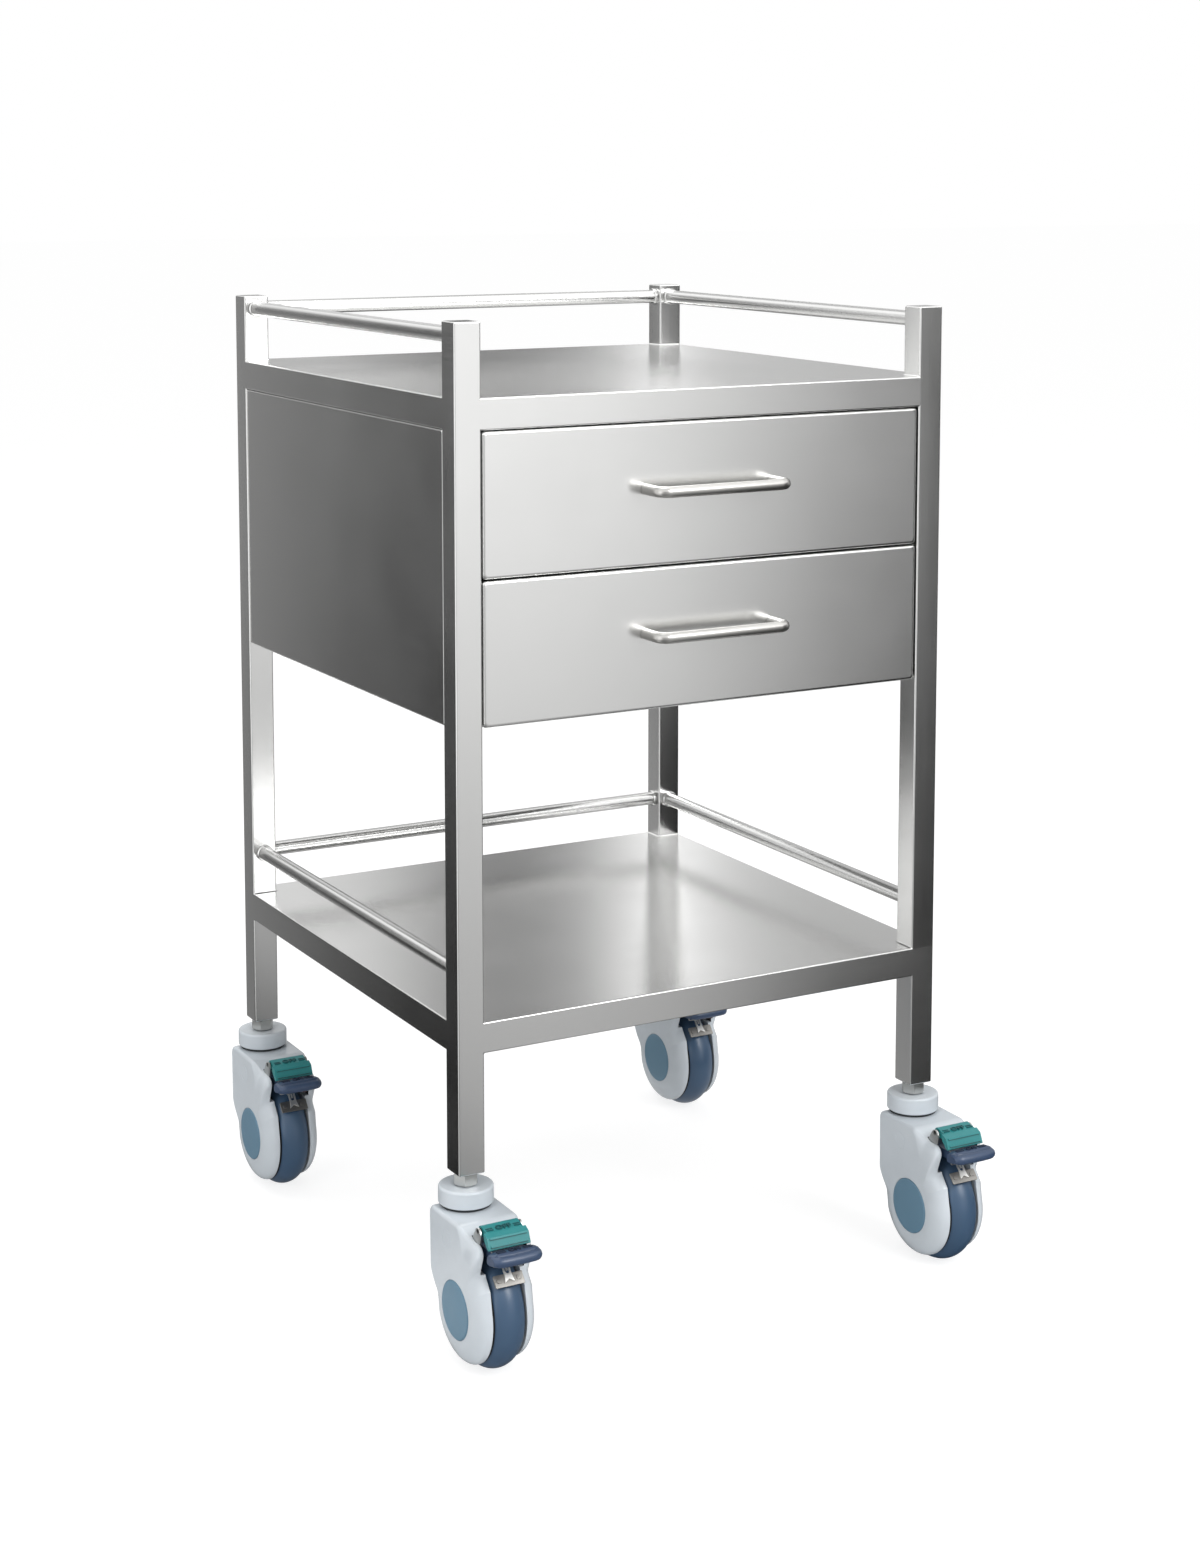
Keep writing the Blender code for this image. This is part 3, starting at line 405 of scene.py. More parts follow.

# %% [markdown]
# ## Moulded plastics and the tyre
# The castors are moulded nylon with a smooth gloss, in pale grey, with a blue cap, a teal
# release pedal and a navy brake pedal. The letters on the pedals are matt, and they, the bars
# beside them and the lines at the foot of the release pedal's ribs are a darker tone of the
# pedal's plastic: painted shade, for the shade along their edges. The tyre is navy
# polyurethane, cast in a polished mould. A plastic moulding is never quite even: its gloss
# wavers slowly over the surface, and its skin has a fine grain, here drawn as a faint bump.


# %% Plastics
def moulded(name, colour, roughness, grain=0.8):
    """Moulded plastic whose gloss wavers, with a skin grain of so many millimetres."""
    made, tree = material(name)
    place = add(tree, "ShaderNodeTexCoord").outputs["Object"]
    flow = noise(tree, place, 18, 3.0)
    fill(tree.nodes["Principled BSDF"], {
        "Base Color": toned(tree, flow, colour, 0.95, 1.03),
        "Roughness": ranged(tree, flow, roughness * 0.85, roughness * 1.2),
        "Normal": bump(tree, noise(tree, place, grain, 2.0), 0.05), "IOR": 1.5,
        "Coat Weight": 0.0})
    return made


pale_nylon = moulded("moulded_grey_nylon", "#CED5DB", 0.20)
blue_cap = moulded("moulded_blue_cap", "#66899F", 0.38)
teal_nylon = moulded("moulded_teal_nylon", "#2A8688", 0.36)
navy_nylon = moulded("moulded_navy_nylon", "#384A66", 0.34)
# Painted shade: darker tones of the pedal plastics for the letters, the bars beside them and the
# lines at the foot of the release pedal's ribs.
teal_painted_shade = moulded("moulded_matt_teal_nylon", "#1A5C5F", 0.5)
navy_painted_shade = moulded("moulded_matt_navy_nylon", "#202B40", 0.5)
navy_tyre = moulded("cast_navy_polyurethane", "#3F5873", 0.34, 1.5)
brown_rubber = moulded("moulded_brown_rubber", "#4A2E26", 0.5)
# Black for the seal under the bearing cover, and as painted shade in the housing's pocket, on the
# roof of the wheel's slot and on the tyre's flanks.
black_seal_and_painted_shade = moulded("moulded_black_seal", "#202326", 0.5)
print("plastics:", [m.name for m in (pale_nylon, blue_cap, teal_nylon, navy_nylon, navy_tyre)])

# %% [markdown]
# ## Helpers for meshes
# Most pieces here are a stack of outlines joined by faces, which suits folded sheet and turned
# parts alike. Each piece is closed, its faces point outwards, and flat faces keep a flat shade
# beside round edges because the shading normals are weighted by face area.


# %% Mesh helpers
def rounded_rect(width, height, radius, steps=6):
    """An outline about the middle, anticlockwise, with so many steps round each corner."""
    points = []
    for across, up, start in ((1, 1, 0), (-1, 1, 90), (-1, -1, 180), (1, -1, 270)):
        for step in range(steps + 1):
            angle = math.radians(start + 90 * step / steps)
            points.append((across * (width / 2 - radius) + radius * math.cos(angle),
                           up * (height / 2 - radius) + radius * math.sin(angle)))
    return points


def skin(rings, wrap=False, bm=None):
    """Join rings of as many points each. Without wrap, the two end rings are capped."""
    bm = bmesh.new() if bm is None else bm
    rows = [[bm.verts.new(point) for point in ring] for ring in rings]
    pairs = list(zip(rows, rows[1:]))
    if wrap:
        pairs.append((rows[-1], rows[0]))
    else:
        bm.faces.new(rows[0])
        bm.faces.new(rows[-1])
    for near, far in pairs:
        strip(bm, near, far)
    return bm


def turned(profile, sides, axis="Z", centre=(0, 0, 0), wrap=False, bm=None):
    """A body of revolution. The profile holds (radius, along) pairs."""
    rings = []
    for radius, along in profile:
        ring = []
        for step in range(sides):
            angle = math.tau * step / sides
            a, b = radius * math.cos(angle), radius * math.sin(angle)
            point = {"X": (along, a, b), "Y": (a, along, b), "Z": (a, b, along)}[axis]
            ring.append(Vector(point) + Vector(centre))
        rings.append(ring)
    return skin(rings, wrap, bm)


def arc(radius, degrees, centre=(0, 0)):
    """Points round a centre at so many degrees each."""
    angles = [math.radians(a) for a in degrees]
    return [(centre[0] + radius * math.cos(a), centre[1] + radius * math.sin(a)) for a in angles]


def quarter(radius, steps=5):
    """(inset, rise) pairs round a quarter circle, from the side face to the top face."""
    angles = [math.pi / 2 * step / steps for step in range(steps + 1)]
    return [(radius * (1 - math.cos(a)), radius * math.sin(a)) for a in angles]


def round_path(corners, steps=5):
    """Round the corners of a closed outline. Each corner is (a, b, radius)."""
    points = []
    for here, (a, b, radius) in enumerate(corners):
        corner = Vector((a, b))
        if radius <= 0:
            points.append(tuple(corner))
            continue
        before = (Vector(corners[here - 1][:2]) - corner).normalized()
        after = (Vector(corners[(here + 1) % len(corners)][:2]) - corner).normalized()
        half = before.angle(after) / 2
        reach = radius / math.tan(half)
        centre = corner + (before + after).normalized() * radius / math.sin(half)
        first = corner + before * reach - centre
        sweep = first.angle_signed(corner + after * reach - centre)
        for step in range(steps + 1):
            turn = Matrix.Rotation(-sweep * step / steps, 2)
            points.append(tuple(centre + turn @ first))
    return points


def as_mesh(made):
    """The mesh that an object and its modifiers come to."""
    bpy.context.view_layer.update()
    graph = bpy.context.evaluated_depsgraph_get()
    return bpy.data.meshes.new_from_object(made.evaluated_get(graph), depsgraph=graph)


def evaluated(made):
    """Replace an object's mesh by what its modifiers make of it, and drop them."""
    mesh = as_mesh(made)
    made.modifiers.clear()
    made.data = mesh
    return made


def solid(name, bm, looks, sharp=32, bevel=0.0):
    """A finished object: outward faces, soft edges where asked, and weighted normals."""
    bmesh.ops.recalc_face_normals(bm, faces=bm.faces)
    mesh = bpy.data.meshes.new(name)
    bm.to_mesh(mesh)
    bm.free()
    for look in looks if isinstance(looks, (list, tuple)) else [looks]:
        mesh.materials.append(look)
    made = put(name, mesh)
    if bevel:
        soft = made.modifiers.new("Bevel", "BEVEL")
        soft.width, soft.segments, soft.limit_method = bevel, 3, "ANGLE"
        soft.angle_limit = math.radians(sharp)
        evaluated(made)
    made.data.shade_smooth()
    made.data.set_sharp_from_angle(angle=math.radians(sharp + 8 if bevel else sharp))
    even = made.modifiers.new("Weighted Normal", "WEIGHTED_NORMAL")
    even.keep_sharp = True
    return evaluated(made)


def fasten(made, body, slot, *stands_for):
    """Give a piece its body and hide the solids that it is shown for. The slot is not used."""
    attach(made, body)
    if stands_for:
        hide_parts(*stands_for)
    return made


print("a quarter in two steps:", [tuple(round(v, 2) for v in p) for p in quarter(1, 2)])

# %% [markdown]
# ## The welded frame
# The posts are 25 mm square tube, and the top and the shelf are flat sheets with a deep edge
# between the posts. On the real trolley the joints are welded and ground flush, so that no seam
# shows. Blocks joined with a Boolean union give that one body, and a bevel then rounds every
# edge to the tube's own corner of about 2 mm, and fills the inside corners as a weld does.

# %% Sizes of the frame, from the solids
corners = ("front_left", "front_right", "rear_left", "rear_right")
post_low, post_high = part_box("front_left_post")
TUBE = post_high.x - post_low.x
SHIFT = (post_low.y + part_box("rear_right_post")[1].y) / 2
HALF = -post_low.x
POST_FOOT, POST_TOP = post_low.z, post_high.z
POST = HALF - TUBE / 2
TUBE_CORNER = 2.0 * MM
print("post:", round(TUBE / MM, 1), "mm square,", round((POST_TOP - POST_FOOT) / MM), "mm long")


# %% Blocks and Boolean steps
def upright(outline, low, high):
    """An outline of (x, y) points pushed up from one height to another."""
    return skin([[(x, y, z) for x, y in outline] for z in (low, high)])


def prism(outline, low, high):
    """An outline of (y, z) points pushed along X."""
    return skin([[(x, y, z) for y, z in outline] for x in (low, high)])


def box_shape(low, high):
    outline = [(low[0], low[1]), (high[0], low[1]), (high[0], high[1]), (low[0], high[1])]
    return upright(outline, low[2], high[2])


def cut_mesh(name, body, tools):
    """The mesh of the body after each (operation, shape) in turn."""
    shapes = []
    for shape in [body] + [tool for _, tool in tools]:
        bmesh.ops.recalc_face_normals(shape, faces=shape.faces)
        mesh = bpy.data.meshes.new(name)
        shape.to_mesh(mesh)
        shape.free()
        shapes.append(put(name + "_shape", mesh))
    for (operation, _), tool in zip(tools, shapes[1:]):
        step = shapes[0].modifiers.new(operation, "BOOLEAN")
        step.operation, step.object = operation, tool
    evaluated(shapes[0])
    bm = bmesh.new()
    bm.from_mesh(shapes[0].data)
    for shape in shapes:
        bpy.data.objects.remove(shape)
    for face in bm.faces:
        face.material_index = 0
    bmesh.ops.remove_doubles(bm, verts=bm.verts, dist=0.01 * MM)
    return bm


def cut(name, body, tools, look, sharp=32, bevel=0.0):
    return solid(name, cut_mesh(name, body, tools), look, sharp, bevel)


# %% The frame in one body
def welded_frame():
    posts = [box_shape(*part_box(f"{corner}_post")) for corner in corners]
    tools = [("UNION", post) for post in posts[1:]]
    hollows = []
    for node in ("top_tray", "shelf_tray"):
        low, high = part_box(node)
        tools.append(("UNION", box_shape(low, high)))
        inner = TUBE + 0.5 * MM
        hollow_low = (low.x + inner, low.y + inner, low.z - MM)
        hollow_high = (high.x - inner, high.y - inner, high.z - 1.5 * MM)
        hollows.append(("DIFFERENCE", box_shape(hollow_low, hollow_high)))
    bm = cut_mesh("frame", posts[0], tools)
    bmesh.ops.dissolve_limit(bm, angle_limit=math.radians(1), verts=bm.verts, edges=bm.edges)
    rounded = solid("rounded_frame", bm, tube_steel, sharp=40, bevel=TUBE_CORNER)
    bm = bmesh.new()
    bm.from_mesh(rounded.data)
    bpy.data.objects.remove(rounded)
    made = cut("welded_frame", bm, hollows, [tube_steel, tray_steel, sheet_steel_x, sheet_steel_y],
               sharp=40)
    for face in made.data.polygons:
        x, y = abs(face.center.x), abs(face.center.y - SHIFT)
        if x > HALF - TUBE and y > HALF - TUBE:
            face.material_index = 0
        elif face.normal.z > 0.7:
            face.material_index = 1
        else:
            face.material_index = 2 if y > x else 3
    return fasten(made, "frame", "square_tube", "top_tray", "shelf_tray",
                  *[f"{corner}_post" for corner in corners])


made = welded_frame()
print(made.name, len(made.data.polygons), "faces", [round(v, 3) for v in made.dimensions])

# %% [markdown]
# ## The panels and the drawer fronts
# These are shallow pans: a sheet with all four edges bent back. The bend is what separates the
# dark gap from the bright face, so it is a true quarter circle. A pan is drawn facing +w and
# then turned to face the way it does on the trolley.


# %% Panels and drawer fronts
SHEET = 1.2 * MM


def pan(node, name, facing, bend, body):
    """A pan in place of a node. Facing is the outward axis, such as -Y."""
    low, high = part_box(node)
    centre = (low + high) / 2
    size = high - low
    sideways = facing[1] == "X"
    width, depth = (size.y, size.x) if sideways else (size.x, size.y)
    sign = -1 if facing[0] == "-" else 1
    hollow = rounded_rect(width - 2 * SHEET, size.z - 2 * SHEET, bend)
    full = rounded_rect(width, size.z, bend)
    rings = [(hollow, SHEET), (hollow, depth), (full, depth)]
    for inset, rise in quarter(bend, 6):
        outline = rounded_rect(width - 2 * inset, size.z - 2 * inset, bend)
        rings.append((outline, bend - rise))
    placed = []
    for outline, w in rings:
        out = sign * (depth / 2 - w)
        placed.append([(centre.x + out, centre.y + u, centre.z + v) if sideways
                       else (centre.x + u, centre.y + out, centre.z + v) for u, v in outline])
    look = sheet_steel_y if sideways else sheet_steel_x
    return fasten(solid(name, skin(placed), look), body, "panel_sheet", node)


for side, facing in (("left", "-X"), ("right", "+X"), ("back", "+Y")):
    pan(f"{side}_panel", f"{side}_panel_sheet", facing, 2 * MM, "frame")
for level in ("upper", "lower"):
    made = pan(f"{level}_drawer_front", f"{level}_drawer_face", "-Y", 3 * MM, f"{level}_drawer")
    print(made.name, [round(v / MM, 1) for v in made.dimensions])

# %% [markdown]
# ## Bars along a path
# The guard rods and the drawer handles are round bar, straight or bent. Geometry Nodes turn a
# line of a few points into such a bar: the line becomes a curve, its corners are filleted to
# the bend radius, and a circle is swept along it. The same small tree serves all of them.


# %% The swept bar tree
def open_tree(name, inputs, output):
    """A geometry tree and its inputs, each given as a name and a kind."""
    tree = bpy.data.node_groups.new(name, "GeometryNodeTree")
    for key, kind in inputs:
        tree.interface.new_socket(key, in_out="INPUT", socket_type="NodeSocket" + kind)
    tree.interface.new_socket(output, in_out="OUTPUT", socket_type="NodeSocketGeometry")
    return tree, add(tree, "NodeGroupInput").outputs


def close_tree(tree, enter, shape, output):
    """Make the shape real, give it its finish and lead it out."""
    whole = add(tree, "GeometryNodeRealizeInstances", {"Geometry": shape.outputs[0]})
    done = add(tree, "GeometryNodeSetMaterial", {"Geometry": whole.outputs[0],
                                                 "Material": enter["Finish"]})
    add(tree, "NodeGroupOutput", {output: done.outputs[0]})
    return tree


def swept_bar_tree():
    tree, enter = open_tree("swept_bar", (("Path", "Geometry"), ("Bar Radius", "Float"),
                                          ("Bend Radius", "Float"), ("Bend Steps", "Int"),
                                          ("Sides", "Int"), ("Finish", "Material")), "Bar")
    path = add(tree, "GeometryNodeMeshToCurve", {"Mesh": enter["Path"]})
    bent = add(tree, "GeometryNodeFilletCurve", {"Curve": path.outputs[0],
                                                 "Radius": enter["Bend Radius"],
                                                 "Count": enter["Bend Steps"]}, mode="POLY")
    ring = add(tree, "GeometryNodeCurvePrimitiveCircle", {"Resolution": enter["Sides"],
                                                          "Radius": enter["Bar Radius"]})
    swept = add(tree, "GeometryNodeCurveToMesh", {"Curve": bent.outputs[0],
                                                  "Profile Curve": ring.outputs[0],
                                                  "Fill Caps": True})
    return close_tree(tree, enter, swept, "Bar")


def grown(name, mesh, tree, **values):
    """Run a geometry tree on a mesh and keep the result as a plain mesh."""
    made = put(name, mesh)
    modifier = made.modifiers.new("Nodes", "NODES")
    modifier.node_group = tree
    for socket in tree.interface.items_tree:
        key = socket.name.lower().replace(" ", "_")
        if socket.in_out == "INPUT" and key in values:
            modifier[socket.identifier] = values[key]
    evaluated(made)
    made.data.shade_smooth()
    made.data.set_sharp_from_angle(angle=math.radians(40))
    return made


bar_tree = swept_bar_tree()


def bar(name, points, radius, finish, bend=0.0):
    """A round bar through the points."""
    mesh = bpy.data.meshes.new(name)
    mesh.from_pydata(points, [(i, i + 1) for i in range(len(points) - 1)], [])
    return grown(name, mesh, bar_tree, bar_radius=radius, bend_radius=bend, bend_steps=10,
                 sides=40, finish=finish)


print("inputs:", [s.name for s in bar_tree.interface.items_tree if s.in_out == "INPUT"])

# %% [markdown]
# ## Guard rails and handles
# The rods run between the posts on three sides, above the top and above the shelf, and end in
# a small welded collar. The handles are 10 mm bar, bent twice and set on the drawer fronts.

# %% Guard rails
ROD = 7 * MM


def rail(node):
    low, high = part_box(node)
    centre = (low + high) / 2
    along = 0 if high.x - low.x > high.y - low.y else 1
    reach = (high - low)[along] / 2
    ends = []
    for sign in (-1, 1):
        point = centre.copy()
        point[along] += sign * reach
        ends.append(tuple(point))
    made = bar(f"{node}_rod", ends, ROD, rod_steel)
    fasten(made, "frame", "guard_rod", node)
    for sign, word in ((-1, "near"), (1, "far")):
        point = centre.copy()
        point[along] += sign * (reach - 1.5 * MM)
        profile = [(ROD + MM * rise, -sign * MM * a) for rise, a in
                   ((0, -1.5), (1.5, -1.5), (1.5, 0.7), (0.7, 1.5), (0, 1.5))]
        ring = turned(profile, 40, "XY"[along], point, wrap=True)
        fasten(solid(f"{node}_{word}_collar", ring, rod_steel), "frame", "guard_rod")
    return made


for level in ("top", "shelf"):
    for side in ("back", "left", "right"):
        rail(f"{level}_{side}_rail")

# %% Handles
HANDLE = 5 * MM
HANDLE_BEND = 9 * MM


def handle(level):
    low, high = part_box(f"{level}_drawer_handle")
    z = (low.z + high.z) / 2
    x = high.x - HANDLE
    front, back = low.y + HANDLE, high.y
    points = [(-x, back, z), (-x, front, z), (x, front, z), (x, back, z)]
    made = bar(f"{level}_handle_bar", points, HANDLE, handle_steel, HANDLE_BEND)
    return fasten(made, f"{level}_drawer", "handle_bar", f"{level}_drawer_handle")


for level in ("upper", "lower"):
    made = handle(level)
    print(made.name, [round(v / MM) for v in made.dimensions])

# %% [markdown]
# ## The castors
# The four castors are alike, so each moulding is made once, as if its post stood over the
# origin, and then copied under every post. All sizes below are in millimetres on the real
# castor: a 108 mm wheel, 37 mm behind the swivel.


# %% Castor places and the copying helper
WHEEL = 54 * MM
TRAIL = 37 * MM
HUB = Vector((0, -TRAIL, WHEEL))
places = {corner: Matrix.Translation((POST * (1 if "right" in corner else -1),
                                      SHIFT + POST * (1 if "rear" in corner else -1), 0))
          for corner in corners}


def copies(master, part, slot, stands_for=()):
    """One copy of a moulding under each post. Part is the body's name after the corner's."""
    for corner, place in places.items():
        mesh = master.data.copy()
        mesh.transform(place)
        made = put(f"{corner}_{master.name}", mesh)
        body = "frame" if part == "frame" else f"{corner}_{part}"
        fasten(made, body, slot, *[f"{corner}_{node}" for node in stands_for])
    bpy.data.objects.remove(master)


for corner, place in places.items():
    print(corner, "castor at", [round(v, 4) for v in place.translation[:2]])

# %% [markdown]
# ## Stem, nut and collar
# A hexagon nut under the post clamps the castor's stem. A hexagon prism cut by a cone at both
# ends gives the nut its real chamfer, the curved edge that every forged nut has. Under it lies
# the round bearing cover, with a thin dark joint above the housing.

# %% Nut and collar
NUT_ACROSS = 19.5 * MM
NUT_LOW, NUT_HIGH = 149.3 * MM, 159.7 * MM
COLLAR = 24.4 * MM
COLLAR_LOW, COLLAR_HIGH = 133.4 * MM, 149 * MM
BORE = 5.3 * MM


def nut():
    corner = NUT_ACROSS / math.sqrt(3)
    hexagon = [(corner * math.cos(math.tau * k / 6), corner * math.sin(math.tau * k / 6))
               for k in range(6)]
    face = NUT_ACROSS / 2 * 0.98
    drop = (corner - face) * 0.5
    wide = corner + 0.1 * MM
    cone = turned([(face, NUT_LOW), (wide, NUT_LOW + drop), (wide, NUT_HIGH - drop),
                   (face, NUT_HIGH)], 48)
    return cut("nut", upright(hexagon, NUT_LOW, NUT_HIGH), [("INTERSECT", cone)], zinc_steel, 25)


def stem():
    return solid("stem_rod", turned(mm([(5, 121), (5, 183.5)]), 24), zinc_steel)


def collar():
    soft = [(COLLAR - inset, COLLAR_HIGH - 2.2 * MM + rise) for inset, rise in quarter(2.2 * MM, 8)]
    low = [(COLLAR - inset, COLLAR_LOW + 1.2 * MM - rise) for inset, rise in quarter(1.2 * MM, 4)]
    profile = mm([(5.3, 131.3), (20, 131.3)]) + [(20 * MM, COLLAR_LOW)] + low[::-1] + soft
    profile += [(13 * MM, COLLAR_HIGH), (12.4 * MM, COLLAR_HIGH - 0.5 * MM),
                (BORE, COLLAR_HIGH - 0.5 * MM)]
    return solid("bearing_cover", turned(profile, 72, wrap=True), pale_nylon, sharp=40)


def seal():
    """The dark lip that fills the joint between the cover and the housing."""
    profile = mm([(20.05, 131.2), (22.4, 131.2), (22.4, 133.3), (20.05, 133.3)])
    return solid("bearing_seal", turned(profile, 48, wrap=True), black_seal_and_painted_shade)


copies(nut(), "frame", "zinc_steel")
copies(stem(), "frame", "zinc_steel", ["stem"])
copies(collar(), "frame", "castor_plastic", ["collar"])
copies(seal(), "frame", "castor_plastic")
print("nut", round(NUT_ACROSS / MM, 1), "mm across flats, cover", round(COLLAR * 2 / MM, 1), "mm")

# %% [markdown]
# ## The housing
# The housing is a nylon moulding: a top that carries the swivel, two cheeks that cover the
# wheel, a brow over the brake and a slot for the wheel. Its side view is one closed outline.
# From that outline the skin rolls over to the flat side with a radius that is large round the
# wheel and small along the top. The slot, the brake's pocket and the bores are then cut out.
# The pocket's sides and back wall and the roof of the slot are black: painted shade, for the
# deep shade inside them.

# %% The housing's side view
CHEEK = 29 * MM
SHELL = 47.6 * MM


def housing_outline():
    """Points about the wheel's centre, anticlockwise from the back."""
    ends = mm([(51, 22, 0), (51, 77, 5), (-5, 77, 12), (-20.5, 68.4, 10), (-41.5, 67.5, 7),
               (-32, 42.5, 7), (-42.6, 29.5, 1.5)])
    lower = [(*at, 0) for at in arc(SHELL, [166 + 172 * step / 44 for step in range(45)])]
    outline = round_path(ends + lower, steps=6)
    points = []
    for here, after in zip(outline, outline[1:] + outline[:1]):
        first, last = Vector(here), Vector(after)
        parts = max(math.ceil((last - first).length / (3.2 * MM)), 1)
        points += [first.lerp(last, part / parts) for part in range(parts)]
    return points


def blend(value, low, high):
    share = min(max((value - low) / (high - low), 0), 1)
    return share * share * (3 - 2 * share)


def housing_edge(point):
    """How deep the rounding is at a point of the outline, and the half width at its edge."""
    angle = math.degrees(math.atan2(point[1], point[0])) % 360
    soft = 1 - blend(angle, 0, 26) if angle < 80 else blend(angle, 92, 108)
    brow = 1 - blend(angle, 122, 132)
    edge = 17 * MM + (21.6 - 17) * MM * (brow if angle > 80 else 0)
    return 3.5 * MM + 16.5 * MM * soft, 25.5 * MM + (edge - 25.5 * MM) * soft


def housing_shell():
    outline = housing_outline()
    half = []
    for step in range(12, -1, -1):
        angle = math.radians(90 * step / 12)
        ring = []
        for point in outline:
            depth, edge = housing_edge(point)
            out = Vector(point)
            radius = out.length - depth * (1 - math.cos(angle))
            ring.append((out.normalized() * radius, edge + (CHEEK - edge) * math.sin(angle)))
        half.append(ring)
    rings = []
    for side, order in ((1, half), (-1, half[::-1])):
        rings += [[HUB + Vector((side * x, at.x, at.y)) for at, x in ring] for ring in order]
    return skin(rings)


def on_axle(profile, sides=72, wrap=True):
    """A body turned about the wheel's axle."""
    return turned(profile, sides, "X", HUB, wrap)


def housing():
    radius, half, bay, back = WHEEL + 3.3 * MM, 16.3 * MM, 20.7 * MM, 53 * MM
    arch = arc(radius, range(0, 181, 5)) + [(-radius, -radius), (radius, -radius)]
    tools = [prism([(HUB.y + y, HUB.z + z) for y, z in arch], -half, half),
             box_shape((-bay, -106 * MM, 96 * MM), (bay, -back, 140 * MM)),
             turned(mm([(5.3, 120.7), (5.3, 134)]), 24),
             on_axle(mm([(25.8, -31), (25.8, -27), (5.3, -27), (5.3, 27), (25.8, 27),
                         (25.8, 31)]), wrap=False)]
    made = cut("housing_moulding", housing_shell(), [("DIFFERENCE", tool) for tool in tools],
               [pale_nylon, black_seal_and_painted_shade], sharp=38)
    # Painted shade: the pocket's sides and back wall and the roof of the wheel's slot take the
    # black finish, for the deep shade inside them.
    for face in made.data.polygons:
        at, out = face.center, face.normal
        cheek = out.x * at.x < -abs(at.x) * 0.9 and abs(abs(at.x) - bay) < 0.1 * MM
        roof = abs(at.x) < half and abs((at - HUB).yz.length - radius) < 0.5 * MM
        wall = abs(at.y + back) < 0.1 * MM and out.y < -0.9
        if cheek or roof or wall:
            face.material_index = 1
    return made


def side_boss():
    """The faint round mark that the mould leaves on each cheek, under the swivel."""
    bm = bmesh.new()
    for side in (-1, 1):
        inner, outer = side * 28.4, side * 29.2
        profile = mm([(7.6, inner), (7.6, outer), (8.5, outer), (8.5, inner)])
        turned(profile, 40, "X", mm((0, -20.3, 112)), True, bm)
    return solid("housing_mould_mark", bm, pale_nylon)


moulding = housing()
print("housing:", len(moulding.data.polygons), "faces",
      [round(v / MM, 1) for v in moulding.dimensions])
copies(moulding, "castor", "castor_plastic", ["housing"])
copies(side_boss(), "castor", "castor_plastic")

# %% [markdown]
# ## Wheel, tyre and caps
# The wheel has a grey hub and a navy polyurethane tyre with a round tread. Its flanks are
# black, as painted shade for the dark between tyre and housing.
# Both are turned shapes, drawn as half a section and spun round the axle. A blue cap closes
# each side.

# %% Wheel
def mirrored(half):
    """A profile and its mirror image on the other side of the wheel."""
    return half + [(r, -x) for r, x in half[::-1]]


def tyre():
    crown = 18 * MM
    tread = [(WHEEL - crown + math.sqrt(crown ** 2 - x ** 2), x)
             for x in [14.1 * MM * step / 12 for step in range(-12, 13)]]
    side = mm([(33, -13.5), (38, -15), (44, -15)])
    profile = side + tread + [(r, -x) for r, x in side[::-1]]
    made = solid("tyre", on_axle(profile, 96), [navy_tyre, black_seal_and_painted_shade], sharp=40)
    # Painted shade: the flanks, more than 14 mm from the middle, take the black finish.
    for face in made.data.polygons:
        if abs(face.center.x) > 14 * MM:
            face.material_index = 1
    return made


def wheel_core():
    half = mm([(5.3, -13.5), (11, -13.5), (12, -10), (28, -9), (29.5, -13.2), (32.95, -13.2)])
    return solid("wheel_core", on_axle(mirrored(half)), pale_nylon, sharp=30)


def hub_caps():
    half = mm([(2, 30.2), (12, 30.1), (23.4, 29.8), (24.9, 29.7), (25.5, 29.1), (25.5, 27.3),
               (5, 27.3)])
    return solid("axle_caps", on_axle(mirrored(half), wrap=False), blue_cap, sharp=50)


copies(tyre(), "rolling", "tyre_rubber", ["wheel"])
copies(wheel_core(), "rolling", "castor_plastic", ["wheel"])
copies(hub_caps(), "castor", "hub_cap_plastic", ["axle"])
print("wheel", round(WHEEL * 2 / MM), "mm across")

# %% [markdown]
# ## The brake's steel bracket
# A folded steel bracket stands in the housing's pocket. Its two ears carry the pins that the
# pedals turn on. The pins are near-black, as painted shade, so that each hole where a pin is
# sunk looks dark.

# %% Bracket
OFF_PIN = (-64 * MM, 132.5 * MM)
ON_PIN = (-59 * MM, 114.5 * MM)
EAR = 20.4 * MM
KNUCKLE = 4.2 * MM


def drill(radius, sides, pin):
    """The bore for a pin, as a solid across the whole castor."""
    return turned([(radius, -25 * MM), (radius, 25 * MM)], sides, "X", (0, *pin))


def bracket():
    ear = [(OFF_PIN[0] - 1 * MM, OFF_PIN[1] + 8 * MM, 5 * MM)]
    ear += mm([(-53.3, 122.5, 1), (-53.3, 110, 0), (-65, 110, 4)])
    ear += [(OFF_PIN[0] - 6.2 * MM, OFF_PIN[1] - 3 * MM, 5 * MM)]
    outline = round_path(ear, steps=8)
    tools = [("UNION", prism(outline, EAR - 1.5 * MM, EAR)),
             ("UNION", box_shape((-EAR + 0.7 * MM, -54.8 * MM, 110 * MM),
                                 (EAR - 0.7 * MM, -53.3 * MM, 122.5 * MM)))]
    tools += [("DIFFERENCE", drill(2.05 * MM, 24, pin)) for pin in (OFF_PIN, ON_PIN)]
    return cut("brake_bracket", prism(outline, -EAR, -EAR + 1.5 * MM), tools, zinc_steel, sharp=30)


